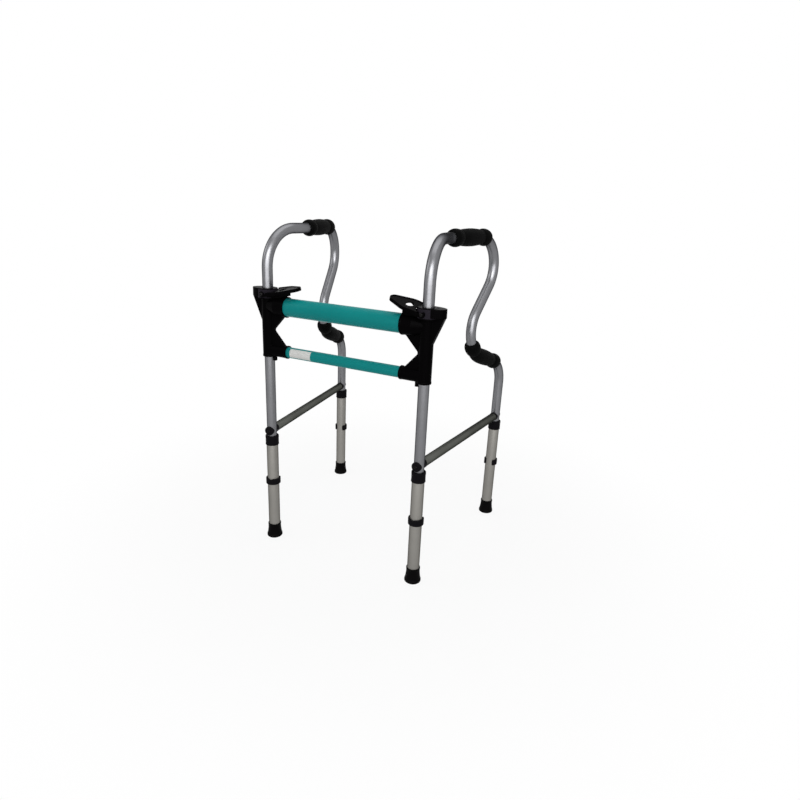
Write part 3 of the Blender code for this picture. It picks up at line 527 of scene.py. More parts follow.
def foot_mesh():
    """The rubber ferrule: a beaded mouth, a waist that flares to the base, and rings under the sole."""
    top_r = SEAT_R + 0.0019
    wall = [(top_r - 0.0008, FOOT_HEIGHT, 0.0006), (top_r, FOOT_HEIGHT - 0.0007, 0.0006),
            (top_r, FOOT_HEIGHT - 0.0034, 0.0005), (top_r - 0.0005, FOOT_HEIGHT - 0.0040, 0.0006),
            (top_r - 0.0002, 0.024, 0.010), (FOOT_BASE_R - 0.0016, 0.0092, 0.012),
            (FOOT_BASE_R - 0.0002, 0.0066, 0.0012), (FOOT_BASE_R - 0.0008, 0.0058, 0.0004),
            (FOOT_BASE_R - 0.0001, 0.0050, 0.0005), (FOOT_BASE_R - 0.0001, 0.0014, 0.0014),
            (FOOT_BASE_R - 0.0016, 0.0, 0.0006)]
    sole = []
    for edge in (0.0158, 0.0124, 0.0090, 0.0056):
        sole += [(edge, 0.0, 0.0002), (edge - 0.0003, 0.0013, 0.0002), (edge - 0.0013, 0.0013, 0.0002),
                 (edge - 0.0016, 0.0, 0.0002)]
    bore = [(0, 0, 0), (0, FOOT_FLOOR, 0), (SEAT_R, FOOT_FLOOR, 0.0004), (SEAT_R, FOOT_HEIGHT, 0.0004)]
    return turned(eased(bore[1:] + wall + sole + [(0, 0, 0)]))


# Brace and its fasteners, along the line from the front leg to the rear one

def brace_way(back=0.0):
    return shift(y=back, z=BRACE_Z) @ ALONG_Y


def brace_mesh():
    low, high = BRACE_END, LEG_SPACING - BRACE_END
    bore = BOLT_R + GAP
    inner = BRACE_R - BRACE_WALL
    profile = eased([(BRACE_R, high, 0.0006), (BRACE_R, low, 0.0006), (bore, low, 0.0002),
                     (bore, low + BRACE_PLUG, 0.0), (inner, low + BRACE_PLUG, 0.0),
                     (inner, high - BRACE_PLUG, 0.0), (bore, high - BRACE_PLUG, 0.0),
                     (bore, high, 0.0002)], closed=True)
    return turned(profile, brace_way())


def seated_rows(radii, leg_r):
    """Rings whose points lie on a leg's surface, as seen along the brace: x across it, y up the leg."""
    rows = []
    for radius in radii:
        rows.append([(x, y, math.sqrt(max(leg_r ** 2 - x ** 2, 0.0))) for x, y, _ in ring(radius, 0)])
    return rows


def saddle_mesh(leg_back, toward):
    """A washer between a leg and the brace, hollowed to the leg's curve."""
    bore = BOLT_R + GAP
    face = BRACE_END - GAP
    rows = seated_rows(SEAT_RINGS, BORE_R)
    rows.append([(x * SEAT_FLARE, y * SEAT_FLARE, min(z + 0.0004, face)) for x, y, z in rows[-1]])
    rows += [ring(SADDLE_R, face - 0.0007), ring(SADDLE_R - 0.0002, face - 0.0002),
             ring(SADDLE_R - 0.0007, face), ring(bore, face)]
    mesh = skin(rows, closed=True)
    mesh.transform(brace_way(leg_back) @ Matrix.Diagonal((1, 1, toward, 1)))
    if toward < 0:
        mesh.flip_normals()
    return mesh


def cap_mesh():
    """The domed washer on the front of the front leg."""
    bore = BOLT_R + GAP
    face = BORE_R + CAP_REACH
    rows = seated_rows(SEAT_RINGS, BORE_R)
    rows.append([(x * SEAT_FLARE, y * SEAT_FLARE, z + 0.0003) for x, y, z in rows[-1]])
    for step in range(9):
        angle = math.pi / 2 * step / 8
        radius = bore + CAP_FLAT + (SADDLE_R - bore - CAP_FLAT) * math.cos(angle)
        rows.append(ring(radius, face - CAP_DOME + CAP_DOME * math.sin(angle)))
    rows.append(ring(bore, face))
    mesh = skin(rows, closed=True)
    mesh.transform(brace_way() @ Matrix.Diagonal((1, 1, -1, 1)))
    mesh.flip_normals()
    return mesh


def front_bolt_mesh():
    seat = -(BORE_R + CAP_REACH + GAP)
    head = BOLT_R + 0.0012
    tip = BRACE_END + BOLT_REACH
    profile = eased([(0, tip, 0), (BOLT_R, tip, 0.0004), (BOLT_R, seat, 0), (head, seat, 0.0002),
                     (head * 0.72, seat - 0.0012, 0.0006), (0.0016, seat - 0.0014, 0.0002),
                     (0.0013, seat - 0.0004, 0.0001), (0, seat - 0.0003, 0)])
    return turned(profile, brace_way(), 40)


def rear_bolt_mesh():
    """The bolt from behind the rear leg, with a domed head that has a driving recess."""
    seat = BORE_R
    dome = seat + NUT_LENGTH
    tip = -(BRACE_END + BOLT_REACH)
    profile = eased([(0, dome - 0.0016, 0), (0.0026, dome - 0.0020, 0.0001), (0.0029, dome - 0.0003, 0.0002),
                     (NUT_R * 0.58, dome - 0.0003, 0.0010), (NUT_R * 0.92, dome - 0.0034, 0.0030),
                     (NUT_R, dome - 0.0058, 0.0010), (NUT_R, seat, 0.0005), (BOLT_R, seat, 0),
                     (BOLT_R, tip, 0.0004), (0, tip, 0)])
    return turned(profile, brace_way(LEG_SPACING), 40)


# Crossbars, corner moulding and rivets

def bar_mesh(outer, z):
    end = FRONT_SPACING / 2 - (SOCKET_REACH - SOCKET_DEPTH) - GAP
    inner = outer - BAR_WALL
    profile = eased([(outer, end, 0.0004), (outer, -end, 0.0004), (inner, -end, 0.0004),
                     (inner, end, 0.0004)], closed=True)
    return turned(profile, shift(z=z) @ ALONG_X, 72)


def rivet_mesh(outer):
    """A domed rivet through a socket and the wall of the crossbar in it."""
    seat = outer + SOCKET_WALL + 2 * GAP
    tip = outer - BAR_WALL - GAP
    profile = eased([(0, seat + 0.0016, 0), (0.0026, seat + 0.0014, 0.0020),
                     (RIVET_HEAD_R, seat + 0.0004, 0.0004), (RIVET_HEAD_R, seat, 0.0001),
                     (RIVET_R, seat, 0), (RIVET_R, tip, 0.0003), (0, tip, 0)])
    return turned(profile, ALONG_Y, 32)


def socket_mesh(outside, z):
    """The socket of a crossbar, beaded at its mouth, with its middle at height z."""
    outer = outside + GAP + SOCKET_WALL
    mouth = -SOCKET_REACH
    floor = mouth + SOCKET_DEPTH
    neck = min(outer, SLEEVE_R) - GAP
    profile = [(0, -0.004), (neck, -0.004), (outer, floor), (outer, mouth + 0.0052),
               (outer + SOCKET_BEAD, mouth + 0.0040), (outer + SOCKET_BEAD, mouth), (0, mouth)]
    return turned(profile, shift(z=z) @ ALONG_X)


def socket_bore(outside, z):
    mouth = -SOCKET_REACH
    return rod(outside + GAP, mouth - 0.01, mouth + SOCKET_DEPTH, shift(z=z) @ ALONG_X)


def web_mesh():
    """The plate between the two sockets, with a notch whose point is rounded."""
    top_z = TOP_BAR_Z - TOP_BAR_R
    low_z = LOW_BAR_Z + LOW_BAR_R
    notch_z = low_z + NOTCH_SHARE * (top_z - low_z)
    points = eased([(0, LOW_BAR_Z, 0), (WEB_RIM_X, LOW_BAR_Z, 0), (WEB_RIM_X, low_z, 0),
                    (NOTCH_X, notch_z, NOTCH_R), (WEB_RIM_X, top_z, 0), (WEB_RIM_X, TOP_BAR_Z, 0),
                    (0, TOP_BAR_Z, 0)], closed=True)
    return plate(points, WEB_THICKNESS, FLAT_TO_XZ)


def hub_mesh():
    """The hub, with a slight foot round its lower edge."""
    foot_r = HUB_R + HUB_FOOT_RISE
    return turned([(0, HUB_BOTTOM), (foot_r, HUB_BOTTOM), (foot_r, HUB_BOTTOM + 0.0014),
                   (HUB_R, HUB_BOTTOM + 0.0020), (HUB_R, HUB_TOP), (0, HUB_TOP)], sides=72)


def flange_mesh(top):
    """The rounded flange on the outer side of the hub."""
    start = PIVOT_X + ARM_END_R + 3 * GAP
    reach = FLANGE_REACH - start
    rim = [(start + reach * x, (FLANGE_FRONT_WIDTH if y < 0 else FLANGE_REAR_WIDTH) * y)
           for x, y in arc((0, 0), 1, -math.pi / 2, math.pi / 2)]
    return plate(rim + [(-HUB_R / 2, HUB_R / 2), (-HUB_R / 2, -HUB_R / 2)], FLANGE_THICKNESS,
                 shift(z=top - FLANGE_THICKNESS / 2))


def gusset_mesh(under):
    """The rib from the sleeve out to the flange's tip."""
    return plate([(SLEEVE_R / 2, under - 0.067), (SLEEVE_R - 0.0005, under - GUSSET_HEIGHT),
                  (GUSSET_REACH, under), (SLEEVE_R / 2, under)], GUSSET_THICKNESS, FLAT_TO_XZ)


def block_mesh():
    """The lock block on top of the upper socket."""
    seat = TOP_BAR_Z + TOP_BAR_R
    return plate([(-BLOCK_REACH, BLOCK_TOP), (-BLOCK_REACH, BLOCK_TOP - BLOCK_END_HEIGHT),
                  (BLOCK_SLANT_X, seat), (-HUB_R / 2, seat), (-HUB_R / 2, BLOCK_TOP)],
                 BLOCK_WIDTH, FLAT_TO_XZ)


def lug_mesh():
    """The stop lug at the sleeve's lower end, towards the middle of the frame."""
    low, high = SLEEVE_BOTTOM - LUG_HALF_HEIGHT, SLEEVE_BOTTOM + LUG_HALF_HEIGHT
    inner, outer = -BORE_R - LUG_SIZE, -BORE_R
    return plate([(inner, low), (outer, low), (outer, high), (inner, high)], LUG_SIZE, FLAT_TO_XZ)


def corner_cutters(pin_way):
    """What is cut from the corner: leg bore, sockets, pin and spring bores, screw and rivet holes."""
    spring_end = -HUB_R + SPRING_BORE_WALL
    cutters = [rod(BORE_R, SLEEVE_BOTTOM - 0.02, HUB_TOP + 0.01), socket_bore(TOP_BAR_R, TOP_BAR_Z),
               socket_bore(LOW_BAR_R, LOW_BAR_Z), rod(PIN_R + GAP, -0.0505, -TUBE_R / 2, pin_way, 24),
               rod(PIN_COLLAR_R + GAP, spring_end - SPRING_BORE_LENGTH, spring_end, pin_way, 24)]
    pivot = shift(PIVOT_X, 0, PIVOT_Z) @ ALONG_Y
    inner = HUB_R - 0.0067
    cutters += [rod(SCREW_HOLE_R, inner, HUB_R + 0.005, pivot, 24),
                rod(SCREW_HOLE_R, -HUB_R - 0.005, -inner, pivot, 24)]
    for outside, z in ((TOP_BAR_R, TOP_BAR_Z), (LOW_BAR_R, LOW_BAR_Z)):
        way = shift(RIVET_X, 0, z) @ ALONG_Y
        cutters.append(rod(RIVET_HOLE_R, outside - 0.005, outside + 0.01, way, 24))
    return cutters


def corner_mesh():
    """The moulded corner: sleeve and hub for the leg, two sockets, web, gusset, flange and lock block."""
    sleeve = rod(SLEEVE_R, SLEEVE_BOTTOM, HUB_BOTTOM + 0.005)
    top = HUB_TOP - 2 * GAP
    pin_way = shift(z=PIN_Z) @ ALONG_X
    boss = rod(PIN_COLLAR_R + BOSS_WALL, -BOSS_REACH, -HUB_R / 2, pin_way)
    band = rod(SLEEVE_R + SLEEVE_BAND_RISE, SLEEVE_BOTTOM, SLEEVE_BOTTOM + SLEEVE_BAND_HEIGHT)
    body = joined(sleeve, [hub_mesh(), flange_mesh(top), gusset_mesh(top - GUSSET_TOP_DROP), web_mesh(),
                           socket_mesh(TOP_BAR_R, TOP_BAR_Z), socket_mesh(LOW_BAR_R, LOW_BAR_Z),
                           block_mesh(), boss, lug_mesh(), band], "UNION")
    body = joined(body, corner_cutters(pin_way), "DIFFERENCE")
    return moulded(body, grain=0.00062, softening=5, share=0.16)


def bush_mesh():
    """The smooth bush round the hub, which stands a little proud of it."""
    low, high = HUB_BOTTOM + 0.0026, HUB_TOP - 0.0022
    outer = HUB_R + BUSH_RISE
    inner = HUB_R - BUSH_THICKNESS
    profile = eased([(outer, high, 0.0004), (outer, low, 0.0004), (inner, low, 0), (inner, high, 0)],
                    closed=True)
    return turned(profile, sides=96)


# Release paddle, its screws and the lock

PADDLE_TIP = -0.0925
PADDLE_TIP_R = 0.0165
PADDLE_WIDE_X = -0.0445
PADDLE_HALF_WIDTH = 0.0318
PADDLE_HEEL_X = -0.0265
PADDLE_HEEL_TOP = 0.6740
PADDLE_SLOPE = math.radians(9.8)
PADDLE_TILT = math.radians(7.5)
PADDLE_RAISED = {"right": math.radians(5.0), "left": 0.0}
PADDLE_RIM = 0.0080
PADDLE_RIM_WALL = 0.0024
PADDLE_DISH = 0.0015
PADDLE_PLATE = 0.0030
HUB_CLEARANCE = 0.0040
FINGER_HOLE_X = -0.0440
FINGER_HOLE_Y = -0.0005
FINGER_HOLE_HALF_LENGTH = 0.0085
FINGER_HOLE_HALF_WIDTH = 0.0120
NOTCH_START = math.radians(118)
ARM_START = -0.058


def leaf_edge(inset):
    """The rear half of the leaf's outline, from its tip to its widest place, drawn in by the inset."""
    centre_x = PADDLE_TIP + PADDLE_TIP_R
    lift = math.atan2(PADDLE_HALF_WIDTH - PADDLE_TIP_R, PADDLE_WIDE_X - centre_x)
    tip = arc((centre_x, 0), PADDLE_TIP_R - inset, math.pi, math.pi / 2 + lift)
    return tip + [(PADDLE_WIDE_X - 0.008, PADDLE_HALF_WIDTH - 0.0022 - inset),
                  (PADDLE_WIDE_X - 0.003, PADDLE_HALF_WIDTH - 0.0007 - inset),
                  (PADDLE_WIDE_X + 0.002, PADDLE_HALF_WIDTH - inset)]


def mirrored_outline(upper):
    """The whole outline of a leaf from its rear half."""
    return upper + [(x, -y) for x, y in reversed(upper) if abs(y) > 1e-9]


def leaf_mesh():
    """The leaf with its rim's top at z = 0: a sunken plate, a finger hole, and a notch for the hub."""
    notch = arc((0, 0), HUB_R + HUB_CLEARANCE, NOTCH_START, math.pi)
    leaf = plate(mirrored_outline(leaf_edge(0) + [(notch[0][0], ARM_OUTER)] + notch), PADDLE_RIM,
                 shift(z=-PADDLE_RIM / 2))
    inside = mirrored_outline(leaf_edge(PADDLE_RIM_WALL) + [(notch[0][0], ARM_INNER)])
    dish = plate(inside, PADDLE_RIM, shift(z=PADDLE_RIM / 2 - PADDLE_DISH))
    pocket = plate(inside, PADDLE_RIM, shift(z=-PADDLE_DISH - PADDLE_PLATE - PADDLE_RIM / 2))
    hole = [(FINGER_HOLE_X + FINGER_HOLE_HALF_LENGTH * x, FINGER_HOLE_Y + FINGER_HOLE_HALF_WIDTH * y)
            for x, y in arc((0, 0), 1, 0, 2 * math.pi)[:-1]]
    return joined(leaf, [dish, pocket, plate(hole, 0.03)], "DIFFERENCE")


def paddle_mesh():
    """The leaf and its two arms, which reach down beside the hub to the pivot, which is the origin."""
    leaf = leaf_mesh()
    leaf.transform(shift(PADDLE_HEEL_X, 0, PADDLE_HEEL_TOP) @ Matrix.Rotation(PADDLE_SLOPE, 4, "Y")
                   @ Matrix.Rotation(PADDLE_TILT, 4, "X") @ shift(-PADDLE_HEEL_X))
    shoulder = PIVOT_X - ARM_END_R * 0.85
    end = arc((PIVOT_X, PIVOT_Z), ARM_END_R, math.radians(60), math.radians(-120))
    arms = []
    for side in (-1, 1):
        middle = side * (ARM_INNER + ARM_OUTER) / 2
        heel_top = PADDLE_HEEL_TOP - PADDLE_DISH - PADDLE_PLATE / 2 + middle * math.tan(PADDLE_TILT)
        top = [(x, heel_top + (PADDLE_HEEL_X - x) * math.tan(PADDLE_SLOPE)) for x in (ARM_START, shoulder)]
        knee = [(-0.0390, 0.6634), (-0.0448, 0.6662)]
        arm = [(ARM_START, top[0][1] - PADDLE_RIM / 2)] + top + end + knee
        arms.append(plate(arm, ARM_OUTER - ARM_INNER, shift(y=middle) @ FLAT_TO_XZ))
    pivot = shift(PIVOT_X, 0, PIVOT_Z) @ ALONG_Y
    body = joined(leaf, arms, "UNION")
    body = joined(body, [rod(SCREW_HOLE_R, -SCREW_OUT, SCREW_OUT, pivot, 24)], "DIFFERENCE")
    body = moulded(body, grain=0.00042, softening=4, share=0.2)
    body.transform(shift(-PIVOT_X, 0, -PIVOT_Z))
    return body


def paddle_screw_mesh():
    """The screw that a paddle's arm turns on, with a driving recess."""
    seat = ARM_OUTER + GAP
    tip = HUB_R - 0.0065
    profile = eased([(0, SCREW_OUT - 0.0010, 0), (0.0012, SCREW_OUT - 0.0010, 0.0001),
                     (0.0014, SCREW_OUT - 0.0001, 0.0001), (0.0026, SCREW_OUT - 0.0001, 0.0010),
                     (SCREW_HEAD_R, SCREW_OUT - 0.0013, 0.0006), (SCREW_HEAD_R, seat, 0.0002),
                     (SCREW_R, seat, 0), (SCREW_R, tip, 0.0003), (0, tip, 0)])
    return turned(profile, ALONG_Y, 32)


SPRING_LOW = -HUB_R + SPRING_BORE_WALL - SPRING_BORE_LENGTH + GAP + SPRING_WIRE_R
SPRING_HIGH = -HUB_R + SPRING_BORE_WALL - 2 * GAP - PIN_COLLAR_LENGTH - SPRING_WIRE_R


def spring_mesh():
    """The coil spring round the lock pin, on the X axis."""
    radius = (PIN_R + GAP + PIN_COLLAR_R) / 2
    turns, per_turn = 3, 40
    points = []
    for i in range(turns * per_turn + 1):
        angle = 2 * math.pi * i / per_turn
        along = SPRING_LOW + (SPRING_HIGH - SPRING_LOW) * i / (turns * per_turn)
        points.append(Vector((along, radius * math.cos(angle), radius * math.sin(angle))))
    rows = swept_rows(points, [SPRING_WIRE_R] * len(points), 12)
    rows = [[points[0]] * 12] + rows + [[points[-1]] * 12]
    return skin(rows, closed=False)


def label_mesh():
    """A bare label on the front of the lower crossbar."""
    radius = LOW_BAR_R + LABEL_RISE
    across = [math.radians(LABEL_LOW_DEGREES + LABEL_WRAP_DEGREES * k / 30) for k in range(31)]
    rows = []
    for i in range(25):
        x = LABEL_START + (LABEL_END - LABEL_START) * i / 24
        rows.append([(x, -radius * math.cos(a), radius * math.sin(a)) for a in across])
    mesh = skin(rows, closed=False, wrapped=False)
    mesh = through_modifier(mesh, "SOLIDIFY", {"thickness": LABEL_THICKNESS, "offset": 1.0})
    mesh.transform(shift(y=FRONT_Y, z=LOW_BAR_Z))
    return mesh


# Node trees

class Term:
    """What comes out of a node. Sums of terms add the nodes that work them out."""

    def __init__(self, recipe, socket):
        self.recipe = recipe
        self.socket = socket

    def maths(self, operation, *values):
        return self.recipe.node("ShaderNodeMath", {"operation": operation}, dict(enumerate(values)))

    def __add__(self, other):
        return self.maths("ADD", self, other)

    __radd__ = __add__

    def __mul__(self, other):
        return self.maths("MULTIPLY", self, other)

    __rmul__ = __mul__

    def __sub__(self, other):
        return self.maths("SUBTRACT", self, other)

    def __rsub__(self, other):
        return self.maths("SUBTRACT", other, self)

    def over(self, low, high):
        """How far this lies from low to high, as 0 to 1, with eased ends."""
        settings = {"interpolation_type": "SMOOTHSTEP"}
        inputs = {"Value": self, "From Min": low, "From Max": high}
        return self.recipe.node("ShaderNodeMapRange", settings, inputs)


class Recipe:
    """The node tree of a material or of the world."""

    def __init__(self, tree):
        self.tree = tree

    def node(self, kind, settings=None, inputs=None, output=0):
        made = self.tree.nodes.new(kind)
        for name, value in (settings or {}).items():
            setattr(made, name, value)
        for name, value in (inputs or {}).items():
            if isinstance(value, Term):
                self.tree.links.new(value.socket, made.inputs[name])
            else:
                made.inputs[name].default_value = value
        return Term(self, made.outputs[output])

    def place(self):
        return self.node("ShaderNodeTexCoord", output="Object")

    def run(self, around, along):
        """Where a point lies round and along its piece, in metres, each stretched by its factor."""
        at = self.node("ShaderNodeUVMap", {"uv_map": "run"})
        return self.node("ShaderNodeVectorMath", {"operation": "MULTIPLY"}, {0: at, 1: (around, along, 1.0)})

    def cloud(self, place, scale, detail=2.0, roughness=0.5):
        return self.node("ShaderNodeTexNoise", {}, {"Vector": place, "Scale": scale, "Detail": detail,
                                                    "Roughness": roughness})

    def cells(self, place, scale):
        return self.node("ShaderNodeTexVoronoi", {"feature": "F1"}, {"Vector": place, "Scale": scale})

    def mixed(self, share, first, second):
        """One colour over another."""
        return self.node("ShaderNodeMix", {"data_type": "RGBA"}, {0: share, 6: first, 7: second}, 2)

    def bump(self, height, depth, strength):
        return self.node("ShaderNodeBump", {}, {"Height": height, "Distance": depth, "Strength": strength})

    def ray(self, kind):
        return self.node("ShaderNodeLightPath", output=kind)

    def in_view(self):
        """1 for what the camera sees, straight, mirrored or through something clear."""
        return self.ray("Is Camera Ray") + self.ray("Is Glossy Ray") + self.ray("Is Transmission Ray")


def grey(value):
    return (value, value, value, 1)


FINISHES = {}


def finish(name, settings):
    """A new material: its recipe, and a call that sets its shader's sockets."""
    material = bpy.data.materials.new(name)
    material.use_nodes = True
    recipe = Recipe(material.node_tree)
    shader = material.node_tree.nodes["Principled BSDF"]
    for socket, value in settings.items():
        shader.inputs[socket].default_value = value
    FINISHES[name] = material

    def feed(**terms):
        for socket, term in terms.items():
            recipe.tree.links.new(term.socket, shader.inputs[socket.replace("_", " ")])

    return recipe, feed


def satin_metal(name, colour, shade, roughness, wear):
    """Anodised tube: fine lines drawn along it, handling marks, and rubbed patches."""
    recipe, feed = finish(name, {"Metallic": 1.0, "Specular Tint": (0.05, 0.05, 0.05, 1)})
    place = recipe.place()
    lines = recipe.cloud(recipe.run(5200, 22), 1.0, 3.0, 0.6)
    smear = recipe.cloud(place, 14, 4.0, 0.55)
    spots = recipe.cloud(place, 95, 5.0, 0.65)
    marks = recipe.cloud(recipe.run(900, 60), 1.0, 6.0, 0.7).over(0.66, 0.74) * wear
    patina = smear.over(0.35, 0.72)
    tone = recipe.mixed(patina, colour, shade)
    tone = recipe.mixed(marks, tone, tuple(min(1, c * 1.22) for c in colour[:3]) + (1,))
    feed(Base_Color=tone,
         Roughness=(roughness + (smear - 0.5) * 0.14 + (lines - 0.5) * 0.08 + (spots - 0.5) * 0.06
                    + marks * 0.10),
         Normal=recipe.bump(spots, 0.00001, 0.25))


satin_metal("tube_aluminium", (0.180, 0.181, 0.190, 1), (0.160, 0.161, 0.169, 1), 0.31, 0.4)
satin_metal("leg_aluminium", (0.238, 0.230, 0.214, 1), (0.210, 0.203, 0.189, 1), 0.44, 0.6)
satin_metal("brace_aluminium", (0.125, 0.128, 0.118, 1), (0.100, 0.103, 0.094, 1), 0.38, 0.5)


def moulded_plastic(name, colour, roughness, grain):
    """Black moulding with a fine spark-eroded grain, lighter where its edges are rubbed."""
    recipe, feed = finish(name, {"Specular IOR Level": 0.006})
    place = recipe.place()
    fine = recipe.cloud(place, grain, 3.0, 0.6)
    smear = recipe.cloud(place, 18, 4.0, 0.6)
    edge = recipe.node("ShaderNodeNewGeometry", output="Pointiness").over(0.515, 0.56)
    rubbed = edge * recipe.cloud(place, 160, 4.0, 0.7).over(0.45, 0.65)
    scuffs = recipe.cloud(place, 420, 5.0, 0.75).over(0.66, 0.78)
    tone = recipe.mixed(rubbed * 0.55 + scuffs * 0.06, colour, grey(0.018))
    feed(Base_Color=tone, Roughness=roughness + (smear - 0.5) * 0.16 + rubbed * 0.1,
         Normal=recipe.bump(fine, 0.00006, 0.5))


moulded_plastic("black_moulding", (0.0020, 0.0017, 0.0020, 1), 0.29, 2600)
moulded_plastic("black_fitting", (0.0092, 0.0084, 0.0100, 1), 0.30, 3200)
moulded_plastic("smooth_bush", (0.0260, 0.0225, 0.0300, 1), 0.34, 3600)

# Teal powder coat, with a fine orange peel
recipe, feed = finish("teal_coat", {"Specular IOR Level": 0.06})
place = recipe.place()
peel = recipe.cloud(place, 520, 2.0, 0.5)
smear = recipe.cloud(place, 9, 4.0, 0.55)
chips = recipe.cells(place, 210).over(0.10, 0.05) * recipe.cloud(place, 30, 2.0).over(0.68, 0.72)
tone = recipe.mixed(smear.over(0.3, 0.75), (0.0060, 0.250, 0.245, 1), (0.0050, 0.228, 0.224, 1))
feed(Base_Color=recipe.mixed(chips * 0.5, tone, (0.12, 0.30, 0.29, 1)),
     Roughness=0.30 + (smear - 0.5) * 0.12 + chips * 0.2,
     Normal=recipe.bump(peel, 0.00010, 0.35))

# Closed-cell foam: small pores in a soft skin
recipe, feed = finish("black_foam", {"Specular IOR Level": 0.02})
place = recipe.place()
pores = recipe.cells(place, 950)
fuzz = recipe.cloud(place, 2300, 3.0, 0.7)
press = recipe.cloud(place, 32, 4.0, 0.6)
tone = recipe.mixed(pores.over(0.15, 0.7), grey(0.0008), grey(0.0026))
tone = recipe.mixed(press.over(0.5, 0.8) * 0.5, tone, (0.0036, 0.0032, 0.0032, 1))
feed(Base_Color=tone, Roughness=0.66 + (press - 0.5) * 0.2,
     Normal=recipe.bump(pores * 0.7 + fuzz * 0.5, 0.00022, 0.7))

# Rubber: matt, with dust towards the floor
recipe, feed = finish("black_rubber", {"Specular IOR Level": 0.02})
place = recipe.place()
height = recipe.node("ShaderNodeSeparateXYZ", {}, {0: place}, "Z")
dust = height.over(0.012, 0.0) * recipe.cloud(place, 130, 5.0, 0.7).over(0.35, 0.7)
fine = recipe.cloud(place, 2100, 4.0, 0.65)
feed(Base_Color=recipe.mixed(dust * 0.5, (0.0026, 0.0023, 0.0025, 1), (0.016, 0.015, 0.014, 1)),
     Roughness=0.52 + dust * 0.3 + (fine - 0.5) * 0.12, Normal=recipe.bump(fine, 0.00010, 0.6))

# Zinc-plated steel
recipe, feed = finish("zinc_steel", {"Metallic": 1.0, "Specular Tint": (0.3, 0.3, 0.3, 1)})
place = recipe.place()
bloom = recipe.cloud(place, 260, 4.0, 0.6)
feed(Base_Color=recipe.mixed(bloom.over(0.35, 0.7), (0.32, 0.325, 0.33, 1), (0.24, 0.24, 0.235, 1)),
     Roughness=0.28 + (bloom - 0.5) * 0.3, Normal=recipe.bump(bloom, 0.00003, 0.5))

# Blackened screws
recipe, feed = finish("blackened_steel", {"Metallic": 1.0})
place = recipe.place()
bloom = recipe.cloud(place, 300, 4.0, 0.6)
feed(Base_Color=recipe.mixed(bloom.over(0.4, 0.75), (0.006, 0.006, 0.006, 1), (0.016, 0.015, 0.015, 1)),
     Roughness=0.38 + (bloom - 0.5) * 0.3, Normal=recipe.bump(bloom, 0.00003, 0.5))

# The bare label
recipe, feed = finish("bare_label", {"Specular IOR Level": 0.2})
place = recipe.place()
fibre = recipe.cloud(place, 900, 4.0, 0.6)
grime = recipe.cloud(place, 120, 5.0, 0.65).over(0.5, 0.8)
feed(Base_Color=recipe.mixed(grime * 0.6, (0.72, 0.72, 0.70, 1), (0.50, 0.50, 0.47, 1)),
     Roughness=0.45 + (fibre - 0.5) * 0.2, Normal=recipe.bump(fibre, 0.00002, 0.4))


# Pieces

CRISP_EDGES = 35
SOFT_EDGES = 60


def add_piece(name, mesh, material, body, stands_for, place=Matrix.Identity(4), sharp=CRISP_EDGES):
    """One visible piece: its own copy of the mesh, in place, riding on its body instead of its solid."""
    mesh = mesh.copy()
    mesh.transform(place)
    if place.determinant() < 0:
        mesh.flip_normals()
    mesh.materials.clear()
    mesh.materials.append(FINISHES[material])
    mesh.shade_smooth()
    mesh.set_sharp_from_angle(angle=math.radians(sharp))
    obj = bpy.data.objects.new(name, mesh)
    bpy.context.scene.collection.objects.link(obj)
    if body:
        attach(obj, body)
    if stands_for:
        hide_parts(stands_for)
    return obj


SIDES = (("right", 1), ("left", -1))

side_pieces = [
    ("bent_tube", side_tube_mesh(), "tube_aluminium", "aluminium", "side_tube"),
    ("cross_tube", brace_mesh(), "brace_aluminium", "dark_aluminium", "side_brace"),
    ("front_cap", cap_mesh(), "black_fitting", "black_plastic", "side_brace_cap"),
    ("front_washer", saddle_mesh(0, 1), "black_fitting", "black_plastic", "side_front_saddle"),
    ("rear_washer", saddle_mesh(LEG_SPACING, -1), "black_fitting", "black_plastic", "side_rear_saddle"),
    ("front_bolt", front_bolt_mesh(), "blackened_steel", "zinc_steel", "side_front_brace_bolt"),
    ("rear_bolt", rear_bolt_mesh(), "zinc_steel", "zinc_steel", "side_rear_brace_bolt"),
]
grips = [("top_foam", grip_mesh(TUBE_BENDS[0][1] + TOP_GRIP_START), "side_top_grip"),
         ("lower_foam", grip_mesh(TUBE_BENDS[4][0] + LOW_GRIP_OVERRUN - GRIP_LENGTH), "side_lower_grip")]
leg_pieces = [
    ("outer_leg", extension_mesh(), "leg_aluminium", "aluminium", "extension"),
    ("leg_collar", collar_mesh(), "black_fitting", "black_plastic", "collar"),
    ("snap_clip", clip_mesh(), "black_fitting", "black_plastic", "clip"),
    ("ferrule", foot_mesh(), "black_rubber", "rubber", "foot"),
]
for side, sign in SIDES:
    body = f"{side}_side"
    for name, mesh, material, slot, node in side_pieces:
        add_piece(f"{side}_{name}", mesh, material, body, f"{side}_{node}", side_place(sign))
    for name, mesh, node in grips:
        grip = add_piece(f"{side}_{name}", mesh, "black_foam", body, f"{side}_{node}",
                         side_place(sign), SOFT_EDGES)
    for end, back, turn in (("front", 0.0, 0.0), ("rear", LEG_SPACING, math.pi)):
        leg = side_place(sign) @ shift(y=back) @ Matrix.Rotation(turn, 4, "Z")
        for name, mesh, material, slot, node in leg_pieces:
            add_piece(f"{side}_{end}_{name}", mesh, material, f"{side}_{end}_leg",
                      f"{side}_{end}_{node}", leg)

